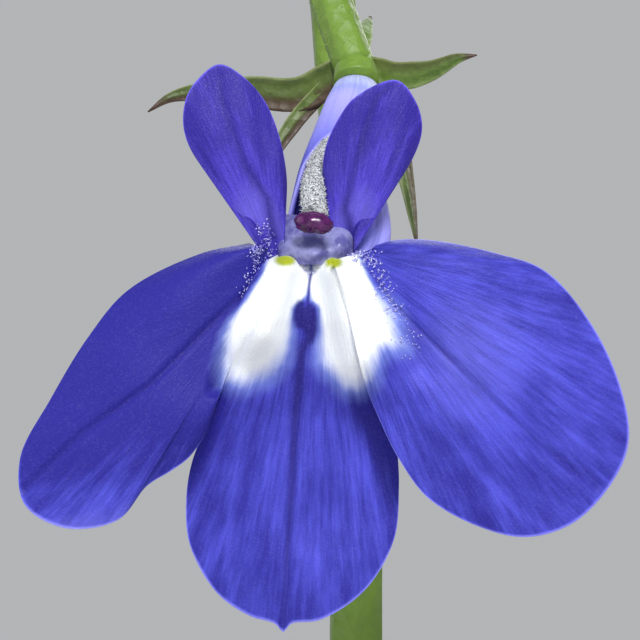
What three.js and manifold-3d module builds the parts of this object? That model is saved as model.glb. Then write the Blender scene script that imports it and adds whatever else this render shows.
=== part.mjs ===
// Potted upright lobelia, in millimetres, +Z up, front towards -Y.
// A bushy bedding plant in a plain pot. Its foremost bloom is the flower of the photo.
import * as THREE from 'three';
import { mergeVertices } from 'three/addons/utils/BufferGeometryUtils.js';
import Module from 'manifold-3d';

const wasm = await Module();
wasm.setup();

const GOLDEN_ANGLE = Math.PI * (3 - Math.sqrt(5));
const GAP = 0.3;

function vec(x, y, z) {
  return new THREE.Vector3(x, y, z);
}

const POT = {
  height: 80, topRadius: 46, baseRadius: 32, wall: 4, floor: 5,
  rimHeight: 17, rimStep: 3, rimSlope: 0.6, rimRound: 2, edge: 1.4, segments: 32,
  drainRadius: 4, drainOffset: 15, drains: 3, drainSides: 12,
};
const SOIL = {
  top: 70, lump: 1.1, rings: 2, segments: 20, holeDepth: 9, innermost: 2, play: 0.15,
};
// Two gentle waves of the soil's top, as turns of angle for each millimetre.
const SOIL_WAVE = { x: 0.31, y: 0.27, start: 1.3 };
const SLANT_WAVE = { x: 0.19, y: 0.42, share: 0.6 };

// The bush: stem tips and blooms lie on two ellipsoids about a point over the rim.
const BUSH = {
  seed: 104, centreHeight: 84, stems: 12, blooms: 41, leavesPerStem: 12,
  tipRadius: 46, tipRise: 58, tipHighest: 0.98, tipLowest: 0.08, tipSpread: 0.1,
  firstStem: 0.9, stemTurn: 0.25, innerBase: 6, outerBase: 27,
  bloomRadius: 60, bloomRise: 74, bloomHighest: 0.985, bloomLowest: -0.2, bloomSpread: 0.13,
  firstBloom: 0.3, bloomTurn: 0.16, smallestBloom: 0.78, largestBloom: 0.92,
};
// How the faces of the bush's blooms stand: outward, a little up, and each turned a little.
const FACING = { outward: 0.25, upward: 0.6, turn: 0.3, roll: 0.4, throatUp: 3 };
const TUBE_END = { up: 3.2, back: 5.5 };
const STEM = {
  baseRadius: 1.3, tipRadius: 0.7, sides: 5, steps: 7,
  upright: 0.45, leastUpright: 22, spread: 0.28, tipLift: 0.12,
};
const STEM_HINT = vec(1, 0.2, 0);
const PEDICEL = {
  radius: 0.5, sides: 3, steps: 3, length: 14, lift: 0.3, arch: 0.38,
  lowest: 0.5, highest: 0.99, step: 0.04, highBonus: 4, flare: 1.7, flareFrom: 0.99,
};
const PEDICEL_HINT = vec(0.31, 0.83, 0.1);
const CALYX = { radius: 0.8, lobe: 3.5, thickness: 1, reach: 0.5, lobes: 5 };
const LEAF = {
  longest: 27, shortest: 14, widest: 10.5, narrowest: 3.4, thickness: 0.9, droop: 0.2,
  cup: 0.12, outward: 0.85, upward: 0.55, first: 0.24, last: 0.97, toothed: 3,
  sizes: [1, 0.88, 0.76, 0.64, 0.52, 0.4],
};
const LEAF_HINT = vec(0.3, 0.2, 1);
// A bud's places along its stem's end and its radius there.
const BUD = [[-1, 0.4], [1.6, 1.15], [3.8, 0.9], [5.6, 0.2]];
const BUD_SIDES = 4;
// How far leaves keep from the pot, from other stems and pedicels, and from a bloom's parts.
const CLEAR = {
  pot: 2.5, insideRim: 10, soil: 4, stem: 1.6, pedicel: 2.2,
  behindFace: 3, beforeFace: 4, face: 11, faceDrop: 3.2, tubeMiddle: 4, tubeEnd: 5,
};
// The places of a leaf that have to keep clear, as fractions of its length and half width.
const PROBES = [
  [0.3, 0], [0.5, 0], [0.75, 0], [0.9, 0], [1.05, 0], [0.5, 1], [0.5, -1], [0.78, 1], [0.78, -1],
];

// The front bloom is seen square on from a point below its level, in front of it.
const FRONT = {
  centre: vec(0, -46, 166), lookUp: THREE.MathUtils.degToRad(15), viewDistance: 200,
  throat: [0, 2.4, 0], petal: 0.7,
};
// The front stem runs up behind the bloom. Its bends are right, up and near, as the bloom's are.
const FRONT_STEM = {
  base: vec(-5, -17, SOIL.top - SOIL.holeDepth), lean: 4, upright: 45,
  bend: [3.6, -4, -14], tip: [-0.5, 16, -13.5], leafCount: 9, lastLeaf: 0.6,
};
const FRONT_PEDICEL = {
  start: 0.93, lift: [-1.2, 15.8, -12], arch: [-0.9, 13.2, -8.6], hypanthium: 0.65, widenBy: 1.4,
  sides: 6, steps: 9,
};

const COLOURS = {
  terracotta: 0xb5694a, soil: 0x3a2a20, leaf: 0x55791f, petal: 0x4a44c4,
  anther: 0xb9b9c4, stigma: 0x560056,
};

const PATH_STEPS = { stem: 24, pedicel: 8 };
const ORIGIN = vec(0, 0, 0);
const UP = vec(0, 0, 1);

// Draws repeatable numbers from 0 to 1.
function seededRandom(seed) {
  let state = seed;
  return () => {
    state = (state * 1664525 + 1013904223) % 4294967296;
    return state / 4294967296;
  };
}

function mix(a, b, t) {
  return a + (b - a) * t;
}

function spread(random, width) {
  return width * (random() - 0.5);
}

function cross(a, b) {
  return vec(0, 0, 0).crossVectors(a, b);
}

// The point origin + axis * distance, for each [axis, distance] pair.
function along(origin, ...steps) {
  const point = origin.clone();
  for (const [axis, distance] of steps) point.addScaledVector(axis, distance);
  return point;
}

function geometryFrom(points, faces) {
  const geometry = new THREE.BufferGeometry();
  geometry.setAttribute(
    'position',
    new THREE.Float32BufferAttribute(points.flatMap((p) => [p.x, p.y, p.z]), 3),
  );
  geometry.setIndex(faces.flat());
  return geometry;
}

function solidFrom(geometry) {
  const bare = geometry.clone();
  bare.deleteAttribute('normal');
  bare.deleteAttribute('uv');
  const merged = mergeVertices(bare, 1e-4);
  return new wasm.Manifold(new wasm.Mesh({
    numProp: 3,
    vertProperties: merged.attributes.position.array,
    triVerts: new Uint32Array(merged.index.array),
  }));
}

function geometryOf(solid) {
  const mesh = solid.getMesh();
  const geometry = new THREE.BufferGeometry();
  geometry.setAttribute('position', new THREE.BufferAttribute(mesh.vertProperties, 3));
  geometry.setIndex(new THREE.BufferAttribute(mesh.triVerts, 1));
  return geometry;
}

function fuse(geometries) {
  return geometries.map(solidFrom).reduce((whole, piece) => whole.add(piece));
}

function namedMesh(name, geometry, colour, roughness) {
  const shaded = geometry.toNonIndexed();
  shaded.computeVertexNormals();
  const material = new THREE.MeshStandardMaterial({ color: colour, roughness, metalness: 0 });
  const mesh = new THREE.Mesh(shaded, material);
  mesh.name = name;
  return mesh;
}

// A closed body through rings of points that all have the same number of points.
function loft(rings) {
  const sides = rings[0].length;
  const points = rings.flat();
  const faces = [];
  for (let r = 0; r < rings.length - 1; r += 1) {
    for (let s = 0; s < sides; s += 1) {
      const next = (s + 1) % sides;
      const [a, b] = [r * sides + s, r * sides + next];
      const [c, d] = [a + sides, b + sides];
      faces.push([a, b, d], [a, d, c]);
    }
  }
  const last = (rings.length - 1) * sides;
  for (let s = 1; s < sides - 1; s += 1) {
    faces.push([0, s + 1, s], [last, last + s, last + s + 1]);
  }
  return geometryFrom(points, faces);
}

// Two directions square to an axis, steady along gently bending curves.
function squareTo(axis, hint) {
  const side = cross(hint, axis).normalize();
  return [side, cross(axis, side)];
}

function ring(centre, axis, hint, radiusA, radiusB, sides) {
  const [a, b] = squareTo(axis, hint);
  return Array.from({ length: sides }, (_, s) => {
    const angle = (2 * Math.PI * s) / sides;
    return along(centre, [a, radiusA * Math.cos(angle)], [b, radiusB * Math.sin(angle)]);
  });
}

// A round tube along a curve, with the radius given at the fraction t of the way.
function tube(curve, radiusAt, sides, steps, hint) {
  const rings = [];
  for (let i = 0; i <= steps; i += 1) {
    const t = i / steps;
    const radius = radiusAt(t);
    rings.push(ring(curve.getPoint(t), curve.getTangent(t), hint, radius, radius, sides));
  }
  return loft(rings);
}

// Pot and soil

function potWallRadius(height) {
  return mix(POT.baseRadius, POT.topRadius - POT.rimStep, height / POT.height);
}

function potGeometry() {
  const { height, topRadius, baseRadius, wall, floor, rimHeight, rimSlope, rimRound, edge } = POT;
  const rimFoot = height - rimHeight;
  const inner = (z) => potWallRadius(z) - wall;
  const profile = [
    [0, 0], [baseRadius - edge, 0], [baseRadius, edge],
    [potWallRadius(rimFoot), rimFoot],
    [topRadius - 2 * rimSlope, rimFoot + rimSlope], [topRadius - 0.2 * rimRound, rimFoot + rimRound],
    [topRadius, height - edge], [topRadius - edge, height],
    [inner(height) + edge, height], [inner(height), height - edge],
    [inner(SOIL.top), SOIL.top], [inner(floor), floor], [0, floor],
  ];
  const points = profile.map(([r, z]) => new THREE.Vector2(r, z));
  const body = new THREE.LatheGeometry(points, POT.segments).rotateX(Math.PI / 2);
  let solid = solidFrom(body);
  for (let i = 0; i < POT.drains; i += 1) {
    const angle = (2 * Math.PI * (i + 0.5)) / POT.drains;
    const { drainRadius, drainSides } = POT;
    const drill = new THREE.CylinderGeometry(drainRadius, drainRadius, 3 * floor, drainSides)
      .rotateX(Math.PI / 2)
      .translate(POT.drainOffset * Math.cos(angle), POT.drainOffset * Math.sin(angle), 0);
    solid = solid.subtract(solidFrom(drill));
  }
  return geometryOf(solid);
}

function soilHeight(x, y) {
  const wave = Math.sin(SOIL_WAVE.x * x + SOIL_WAVE.start) * Math.cos(SOIL_WAVE.y * y);
  const slant = Math.sin(SLANT_WAVE.x * x - SLANT_WAVE.y * y);
  return SOIL.top + SOIL.lump * (wave + SLANT_WAVE.share * slant);
}

function soilGeometry(stems) {
  const bottom = POT.floor + GAP;
  const inner = (z) => potWallRadius(z) - POT.wall - GAP - SOIL.play;
  const around = (radius, height) => Array.from({ length: SOIL.segments }, (_, s) => {
    const angle = (2 * Math.PI * s) / SOIL.segments;
    const [x, y] = [radius * Math.cos(angle), radius * Math.sin(angle)];
    return vec(x, y, height ?? soilHeight(x, y));
  });
  const edgeHeight = SOIL.top - 2 * SOIL.lump;
  const rings = [around(inner(bottom), bottom), around(inner(edgeHeight), edgeHeight)];
  for (let i = 0; i <= SOIL.rings; i += 1) {
    rings.push(around(mix(inner(SOIL.top), SOIL.innermost, i / SOIL.rings)));
  }
  let solid = solidFrom(loft(rings));
  for (const { curve } of stems) {
    const radius = STEM.baseRadius + GAP;
    const holeRings = [0, 1, 2].map((step) => {
      const axis = curve.getTangent(step / STEM.steps);
      const centre = along(curve.getPoint(step / STEM.steps), [axis, step === 0 ? -GAP : 0]);
      return ring(centre, axis, STEM_HINT, radius, radius, STEM.sides);
    });
    solid = solid.subtract(solidFrom(loft(holeRings)));
  }
  return geometryOf(solid);
}

// Front bloom outlines: right and up of the photo's middle, and how near the viewer

const FRONT_CALYX = [1.09, 7.85, -5.95];
const FRONT_LOBES = [
  {
    base: [[-1.25, 2.1], [-1.75, 2.1]],
    edge: [
      [-1.12, 2.86], [-1.03, 4.36], [-1.28, 5.76], [-1.74, 6.85], [-2.49, 7.66], [-3.15, 7.97],
      [-3.77, 7.54], [-4.17, 6.91], [-4.24, 5.92], [-3.77, 4.89], [-2.34, 3.55], [-1.87, 2.96],
    ],
    depth: { base: -0.3, edge: [-0.3, -0.3], arch: 0.35 },
  },
  {
    base: [[-1.7, 2.2], [-0.6, -1.2]],
    edge: [
      [-2.2, 2.4], [-3.74, 2.06], [-5.98, 0.93], [-7.22, -0.53], [-8.41, -2.49],
      [-9.34, -4.3], [-9.19, -5.76], [-7.94, -6.48], [-6.29, -6.23], [-5.39, -5.17],
      [-3.99, -4.3], [-3.36, -3.11], [-3.05, -2.02], [-0.9, -1.45],
    ],
    depth: { base: 0.2, edge: [-0.8, 0], arch: 0.4 },
  },
  {
    base: [[-0.9, 0], [0.5, 0]],
    edge: [
      [-1.6, -0.7], [-2.96, -2.49], [-4.17, -5.61], [-4.05, -7.01],
      [-3.21, -8.5], [-2.18, -9.22], [-1.15, -9.56], [0, -9.34], [1.4, -8.41], [2.3, -6.85],
      [2.46, -5.14], [0.8, -0.6],
    ],
    depth: { base: -0.95, edge: [-1.3, -1.3], arch: 0 },
  },
  {
    base: [[0.6, 1], [1.6, 2.2]],
    edge: [
      [0.75, 0.6], [1.37, -1.9], [2.65, -4.42], [3.36, -5.54], [4.98, -6.45],
      [6.45, -6.76], [7.94, -6.29], [9.19, -4.92], [9.62, -3.74], [9.34, -2.02],
      [8.41, -0.06], [7.01, 1.53], [5.45, 2.09], [2.24, 2.5],
    ],
    depth: { base: 0.2, edge: [0, -0.8], arch: 0.4 },
  },
  {
    base: [[1.55, 2.1], [0.7, 2.1]],
    edge: [
      [1.56, 2.7], [1.35, 3.36], [2.02, 3.83], [2.8, 4.86], [3.18, 5.92], [3.02, 6.73],
      [2.4, 7.47], [1.09, 6.94], [0.62, 6.35], [0.25, 5.61], [0.09, 4.89], [0.14, 3.6],
      [0.44, 2.96],
    ],
    depth: { base: -0.3, edge: [-0.3, -0.3], arch: 0.35 },
  },
];
const LEFT_RIDGE = [
  [0.3, 2.3], [-1.5, 2.4], [-2.3, 1.2], [-2.95, -0.3], [-2.9, -1.7], [-1.9, -1.9],
  [-0.9, -1.2], [0.2, -0.3],
];
const RIGHT_RIDGE = [
  [-0.3, 2.3], [-0.7, 0.4], [-0.5, -0.9], [0.6, -1.8], [1.3, -2.2], [2.1, -1.4], [2.7, -0.7],
  [2.2, 0.6], [1.5, 2.3],
];
const RIDGES = [
  { outline: LEFT_RIDGE, crest: [-1.3, 0.3, 1.1], root: [-1.3, 0.3, -1.4] },
  { outline: RIGHT_RIDGE, crest: [1.2, 0.3, 1.1], root: [1.1, 0.3, -1.4] },
];
const TUBE_SIDES = { corolla: 10, anthers: 8 };
const COROLLA_TUBE = [
  [0, 2.55, 0.3, 1.35, 0.7], [0.3, 3.5, -1.1, 1.2, 0.95], [0.87, 5.92, -3.6, 0.95, 0.95],
  [1.09, 7.3, -5.2, 0.75, 0.75],
];
const COROLLA_MOUTH = [
  [0, 2.65, 0.9, 1, 0.45], [0.05, 2.8, 0, 0.95, 0.45], [0.35, 3.7, -1.4, 0.6, 0.45],
];
const ANTHER_TUBE = [
  [0.6, 5.75, -3.4, 0.36, 0.36], [0.1, 5, -1.9, 0.38, 0.38], [-0.2, 4.1, -0.4, 0.38, 0.38],
  [-0.19, 3.33, 0.5, 0.36, 0.36],
];
const STIGMA = {
  at: [-0.19, 3, 1.05], halfWidth: 0.56, halfHeight: 0.31, halfDepth: 0.36, around: 9, rows: 5,
};
const SEPAL = {
  root: [0.98, 8.3, -6.25], halfWidth: 0.42, halfThickness: 0.32, widestAt: 0.35, offset: 0.05,
};
const SEPAL_HINT = vec(0.2, 1, 0.1);
const SEPAL_TIPS = [
  [-5.36, 6.48, -6.5], [4.89, 8.22, -5], [3.05, 2.49, -4.2], [-2.2, 3.6, -5.2], [1.6, 9.5, -10],
];

// Where stems, blooms and leaves go

function dome(azimuth, rise, radius, height) {
  const flat = Math.sqrt(1 - rise * rise);
  return vec(
    radius * flat * Math.cos(azimuth),
    radius * flat * Math.sin(azimuth),
    BUSH.centreHeight + height * rise,
  );
}

function stemCurve(azimuth, baseOut, tip) {
  const out = vec(Math.cos(azimuth), Math.sin(azimuth), 0);
  const base = along(vec(0, 0, SOIL.top - SOIL.holeDepth), [out, baseOut]);
  const rise = tip.z - base.z;
  const low = along(base, [UP, Math.max(STEM.upright * rise, STEM.leastUpright)]);
  const tipOut = Math.hypot(tip.x, tip.y);
  const high = along(tip, [out, -STEM.spread * tipOut], [UP, -STEM.tipLift * rise]);
  return new THREE.CubicBezierCurve3(base, low, high, tip);
}

function placeStems(random) {
  const stems = [];
  for (let i = 0; i < BUSH.stems; i += 1) {
    const share = (i + 0.5) / BUSH.stems;
    const azimuth = i * GOLDEN_ANGLE + BUSH.firstStem + spread(random, BUSH.stemTurn);
    const rise = mix(BUSH.tipHighest, BUSH.tipLowest, share);
    const size = 1 + spread(random, BUSH.tipSpread);
    const tip = dome(azimuth, rise, BUSH.tipRadius * size, BUSH.tipRise * size);
    const curve = stemCurve(azimuth, mix(BUSH.innerBase, BUSH.outerBase, share), tip);
    stems.push({ curve, pedicels: [], leafCount: BUSH.leavesPerStem, lastLeaf: LEAF.last });
  }
  return stems;
}

// A bloom's own axes: across, up, and out of its face, and where its tube ends.
function bloomFrame(throat, out, roll, size) {
  const level = cross(UP, out).normalize();
  const raised = cross(out, level);
  const across = along(ORIGIN, [level, Math.cos(roll)], [raised, Math.sin(roll)]);
  const up = cross(out, across);
  const tubeEnd = along(throat, [up, TUBE_END.up * size], [out, -TUBE_END.back * size]);
  return { throat, across, up, out, size, tubeEnd };
}

function placeBlooms(random) {
  const blooms = [];
  for (let k = 0; k < BUSH.blooms; k += 1) {
    const rise = mix(BUSH.bloomHighest, BUSH.bloomLowest, (k + 0.5) / BUSH.blooms);
    const azimuth = k * GOLDEN_ANGLE + BUSH.firstBloom + spread(random, BUSH.bloomTurn);
    const reach = 1 + spread(random, BUSH.bloomSpread);
    const centre = dome(azimuth, rise, BUSH.bloomRadius * reach, BUSH.bloomRise * reach);
    const flat = Math.sqrt(1 - rise * rise) + FACING.outward;
    const heading = azimuth + spread(random, FACING.turn);
    const ahead = along(ORIGIN, [vec(Math.cos(heading), Math.sin(heading), 0), flat]);
    const out = along(ahead, [UP, FACING.upward * rise]).normalize();
    const roll = spread(random, FACING.roll);
    const size = mix(BUSH.smallestBloom, BUSH.largestBloom, random());
    const bloom = bloomFrame(centre, out, roll, size);
    const throat = along(centre, [bloom.up, FACING.throatUp * size]);
    blooms.push(bloomFrame(throat, out, roll, size));
  }
  return blooms;
}

// The pedicel leaves its stem about one pedicel's length from the bloom and arches over to it.
function addPedicel(stem, bloom, t) {
  const from = stem.curve.getPoint(t);
  const back = bloom.tubeEnd.clone().sub(bloom.throat).normalize();
  const seat = along(bloom.tubeEnd, [back, GAP + 0.5 * CALYX.thickness]);
  const reach = from.distanceTo(seat);
  const lift = along(from, [stem.curve.getTangent(t), PEDICEL.lift * reach]);
  const arch = along(seat, [back, PEDICEL.arch * reach]);
  stem.pedicels.push({
    curve: new THREE.CubicBezierCurve3(from, lift, arch, seat), bloom, back,
  });
}

// A point of the front bloom: right, up and towards the viewer of its centre. The first two are
// as seen from the viewing distance, so nearer points are drawn in a little.
function frontPoint([right, up, near]) {
  const { centre, lookUp, viewDistance } = FRONT;
  const drawnIn = 1 - near / viewDistance;
  const upAxis = vec(0, -Math.sin(lookUp), Math.cos(lookUp));
  const outAxis = vec(0, -Math.cos(lookUp), -Math.sin(lookUp));
  return along(centre, [vec(1, 0, 0), right * drawnIn], [upAxis, up * drawnIn], [outAxis, near]);
}

function placeFrontStem() {
  const { base, lean, upright, bend, tip, leafCount, lastLeaf } = FRONT_STEM;
  const low = along(base, [vec(1, 0, 0), lean], [UP, upright]);
  const curve = new THREE.CubicBezierCurve3(base, low, frontPoint(bend), frontPoint(tip));
  const pedicel = new THREE.CubicBezierCurve3(
    curve.getPoint(FRONT_PEDICEL.start),
    frontPoint(FRONT_PEDICEL.lift),
    frontPoint(FRONT_PEDICEL.arch),
    frontPoint(FRONT_CALYX),
  );
  return { curve, pedicels: [{ curve: pedicel }], leafCount, lastLeaf, isFront: true };
}

function placeFrontBloom() {
  const throat = frontPoint(FRONT.throat);
  const out = frontPoint([0, 0, 1]).sub(frontPoint([0, 0, 0])).normalize();
  return bloomFrame(throat, out, 0, 1);
}

// Each bloom goes to the stem place that suits a pedicel's length best, and rather a high one.
function joinBlooms(stems, blooms) {
  for (const bloom of blooms) {
    let best = null;
    for (const stem of stems) {
      for (let { lowest: t } = PEDICEL; t < PEDICEL.highest; t += PEDICEL.step) {
        const distance = stem.curve.getPoint(t).distanceTo(bloom.tubeEnd);
        const cost = Math.abs(distance - PEDICEL.length) + PEDICEL.highBonus * (1 - t);
        if (!best || cost < best.cost) best = { cost, stem, t };
      }
    }
    addPedicel(best.stem, bloom, best.t);
  }
}

function distanceToPath(point, path) {
  return Math.min(...path.map((p) => p.distanceTo(point)));
}

function insideBloom(point, bloom) {
  const local = point.clone().sub(bloom.throat);
  const [a, b, c] = [local.dot(bloom.across), local.dot(bloom.up), local.dot(bloom.out)]
    .map((value) => value / bloom.size);
  const inFace = c > -CLEAR.behindFace && c < CLEAR.beforeFace
    && Math.hypot(a, b + CLEAR.faceDrop) < CLEAR.face;
  const middle = bloom.throat.clone().lerp(bloom.tubeEnd, 0.5);
  return inFace || point.distanceTo(middle) < CLEAR.tubeMiddle
    || point.distanceTo(bloom.tubeEnd) < CLEAR.tubeEnd;
}

// True where a leaf's point keeps clear of the pot, the blooms and every other stem.
function isClear(point, stem, stems, blooms) {
  const out = Math.hypot(point.x, point.y);
  if (out < POT.topRadius + CLEAR.pot && point.z < POT.height + CLEAR.pot) {
    if (out > POT.topRadius - CLEAR.insideRim || point.z < SOIL.top + CLEAR.soil) return false;
  }
  if (blooms.some((bloom) => insideBloom(point, bloom))) return false;
  const own = distanceToPath(point, stem.path);
  return stems.every((other) => other === stem
    || (distanceToPath(point, other.path) > own + CLEAR.stem
      && other.twigs.every((twig) => distanceToPath(point, twig) > CLEAR.pedicel)));
}

function leafFrame(stem, t, azimuth) {
  const axis = stem.curve.getTangent(t);
  const [a, b] = squareTo(axis, LEAF_HINT);
  const outward = along(ORIGIN, [a, Math.cos(azimuth)], [b, Math.sin(azimuth)]);
  const ahead = along(ORIGIN, [outward, LEAF.outward], [axis, LEAF.upward]).normalize();
  const across = cross(axis, outward).normalize();
  const up = cross(ahead, across).negate();
  return { root: stem.curve.getPoint(t), ahead, across, up };
}

// A point of the arched blade, from fractions of its length and half width.
function leafPoint(leaf, far, side, rise) {
  const droop = LEAF.droop * far * far * leaf.length;
  const cup = LEAF.cup * Math.abs(side) * leaf.width;
  return along(
    leaf.root,
    [leaf.ahead, far * leaf.length],
    [leaf.across, side * leaf.width * 0.5],
    [leaf.up, rise - droop + cup],
  );
}

function placeLeaves(stem, stems, blooms, random) {
  const leaves = [];
  const turn = 2 * Math.PI * random();
  for (let j = 0; j < stem.leafCount; j += 1) {
    const t = mix(LEAF.first, stem.lastLeaf, (j + 0.5) / stem.leafCount);
    const frame = leafFrame(stem, t, turn + j * GOLDEN_ANGLE);
    const full = {
      ...frame,
      length: mix(LEAF.longest, LEAF.shortest, t),
      width: mix(LEAF.widest, LEAF.narrowest, t),
      toothed: j < LEAF.toothed,
    };
    const leaf = LEAF.sizes
      .map((share) => ({
        ...full, length: full.length * share, width: full.width * Math.sqrt(share),
      }))
      .find((sized) => PROBES.every(([far, side]) => isClear(
        leafPoint(sized, far, side, 0), stem, stems, blooms,
      )));
    if (leaf) leaves.push(leaf);
  }
  return leaves;
}

function tracePaths(stem) {
  stem.path = stem.curve.getPoints(PATH_STEPS.stem);
  stem.twigs = stem.pedicels.map((pedicel) => pedicel.curve.getPoints(PATH_STEPS.pedicel));
}

// Green pieces

// Half outlines as [fraction of length, fraction of half width], root to tip.
const TOOTHED_EDGE = [[0.28, 0.26], [0.5, 0.86], [0.57, 0.66], [0.76, 1], [0.82, 0.74]];
const NARROW_EDGE = [[0.3, 0.75], [0.72, 0.85]];
const TOOTHED_RIB = [0.32, 0.58, 0.82];
const NARROW_RIB = [0.5];

// Zigzags triangles between the rib and one edge of a blade, which share both ends.
function halfBlade(edge, rib) {
  const faces = [];
  let [e, r] = [1, 0];
  while (e < edge.length - 1 || r < rib.length - 2) {
    const nextRib = r < rib.length - 2 && (e >= edge.length - 1
      || rib[r + 1].far <= edge[e].far);
    if (nextRib) {
      faces.push([rib[r].index, edge[e].index, rib[r + 1].index]);
      r += 1;
    } else {
      faces.push([edge[e].index, edge[e + 1].index, rib[r].index]);
      e += 1;
    }
  }
  return faces;
}

function leafGeometry(leaf) {
  const edgeTable = leaf.toothed ? TOOTHED_EDGE : NARROW_EDGE;
  const ribTable = leaf.toothed ? TOOTHED_RIB : NARROW_RIB;
  const points = [];
  const put = (far, side, rise) => {
    points.push(leafPoint(leaf, far, side, rise));
    return { index: points.length - 1, far };
  };
  const root = put(0, 0, 0);
  const tip = put(1, 0, 0);
  const faces = [];
  const edges = [1, -1].map((side) => [
    root, ...edgeTable.map(([far, wide]) => put(far, side * wide, 0)), tip,
  ]);
  for (const face of [1, -1]) {
    const ribs = ribTable.map((far) => put(far, 0, 0.5 * face * LEAF.thickness));
    const rib = [root, ...ribs, tip];
    edges.forEach((edge, which) => {
      const flip = (which === 0) === (face === 1);
      for (const [a, b, c] of halfBlade(edge, rib)) faces.push(flip ? [a, b, c] : [a, c, b]);
    });
  }
  return geometryFrom(points, faces);
}

// Five narrow sepals in one flat star, thickest at its centre.
function calyxGeometry(pedicel) {
  const { bloom, back } = pedicel;
  const size = bloom.size;
  const seat = along(bloom.tubeEnd, [back, GAP + 0.5 * CALYX.thickness]);
  const [a, b] = squareTo(back, bloom.across);
  const points = [
    along(seat, [back, -0.5 * CALYX.thickness]), along(seat, [back, 0.5 * CALYX.thickness]),
  ];
  const corners = 2 * CALYX.lobes;
  for (let i = 0; i < corners; i += 1) {
    const angle = (2 * Math.PI * i) / corners;
    const isTip = i % 2 === 0;
    const radius = isTip ? CALYX.lobe * size : CALYX.radius * size;
    const centre = isTip ? along(seat, [back, -CALYX.reach]) : seat;
    points.push(along(centre, [a, radius * Math.cos(angle)], [b, radius * Math.sin(angle)]));
  }
  const faces = [];
  for (let i = 0; i < corners; i += 1) {
    const [here, next] = [2 + i, 2 + ((i + 1) % corners)];
    faces.push([0, next, here], [1, here, next]);
  }
  return geometryFrom(points, faces);
}

function pedicelGeometry(pedicel) {
  const widen = (t) => (t > PEDICEL.flareFrom ? PEDICEL.flare : 1) * PEDICEL.radius;
  return tube(pedicel.curve, widen, PEDICEL.sides, PEDICEL.steps, PEDICEL_HINT);
}

function budGeometry(stem) {
  const axis = stem.curve.getTangent(1);
  const tip = stem.curve.getPoint(1);
  return loft(BUD.map(([far, radius]) => ring(
    along(tip, [axis, far]), axis, LEAF_HINT, radius, radius, BUD_SIDES,
  )));
}

// One narrow sepal of the front bloom, a slim lens from the calyx to its tip.
function sepalGeometry(tipPoint) {
  const root = frontPoint(SEPAL.root);
  const tip = frontPoint(tipPoint);
  const axis = tip.clone().sub(root).normalize();
  const [a, b] = squareTo(axis, SEPAL_HINT);
  const middle = root.clone().lerp(tip, SEPAL.widestAt);
  const waist = ring(middle, axis, b, SEPAL.halfWidth, SEPAL.halfThickness, 4);
  const faces = [];
  for (let i = 0; i < 4; i += 1) {
    const next = (i + 1) % 4;
    faces.push([4, i, next], [5, next, i]);
  }
  return geometryFrom([...waist, tip, along(root, [a, SEPAL.offset])], faces);
}

function frontStemPieces(stem) {
  const { hypanthium, widenBy, sides, steps } = FRONT_PEDICEL;
  const radiusAt = (t) => mix(PEDICEL.radius, hypanthium, Math.min(1, t * widenBy));
  return [
    tube(stem.pedicels[0].curve, radiusAt, sides, steps, PEDICEL_HINT),
    ...SEPAL_TIPS.map(sepalGeometry),
  ];
}

function stemPieces(stem) {
  const radiusAt = (t) => mix(STEM.baseRadius, STEM.tipRadius, t);
  const flowering = stem.isFront ? frontStemPieces(stem) : [
    ...stem.pedicels.map(pedicelGeometry), ...stem.pedicels.map(calyxGeometry),
  ];
  return [
    tube(stem.curve, radiusAt, STEM.sides, STEM.steps, STEM_HINT),
    budGeometry(stem),
    ...stem.leaves.map(leafGeometry),
    ...flowering,
  ];
}

// Blooms of the bush, in their own across, up and out, with the throat at zero

const THROAT = [[0, 0.9], [-1.4, 0.4], [-1, -1], [1, -1], [1.4, 0.4]];
const SIDE_LOBE = [[-4.4, 0.2], [-7.2, -1.9], [-9.4, -5.6], [-8.9, -8.3], [-6.6, -8.4], [-4.6, -6]];
const MIDDLE_LOBE = [[-3.9, -7.6], [-2.9, -10.4], [0, -11.9], [2.9, -10.4], [3.9, -7.6]];
const UPPER_LOBE = [[-1, 3], [-1.9, 4.9], [-3.2, 5.6], [-4.3, 4.1], [-3.4, 1.8]];

function mirrored(outline) {
  return outline.map(([u, v]) => [-u, v]).reverse();
}

// Each lobe spans two neighbouring throat points, anticlockwise from the top one.
const LOBES = [
  { outline: UPPER_LOBE, middle: [-2.4, 3], bend: 0.5 },
  { outline: SIDE_LOBE, middle: [-5.4, -3.9], bend: -1.1 },
  { outline: MIDDLE_LOBE, middle: [0, -6.6], bend: -1.5 },
  { outline: mirrored(SIDE_LOBE), middle: [5.4, -3.9], bend: -1.1 },
  { outline: mirrored(UPPER_LOBE), middle: [2.4, 3], bend: 0.5 },
];
const PETAL = {
  thickness: 0.8, throatDepth: 2.2, pitUp: 0.7, length: 12, centreBend: 0.25, lean: 0.4,
};
// The tube behind the throat at its waist and its end: narrowed, raised and set back.
const WAIST = { narrow: 0.9, raise: 0.5, back: 3 };
const END = { wide: 0.6, high: 0.54, raise: 3.1, back: 5.5, slant: 0.3 };

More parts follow.
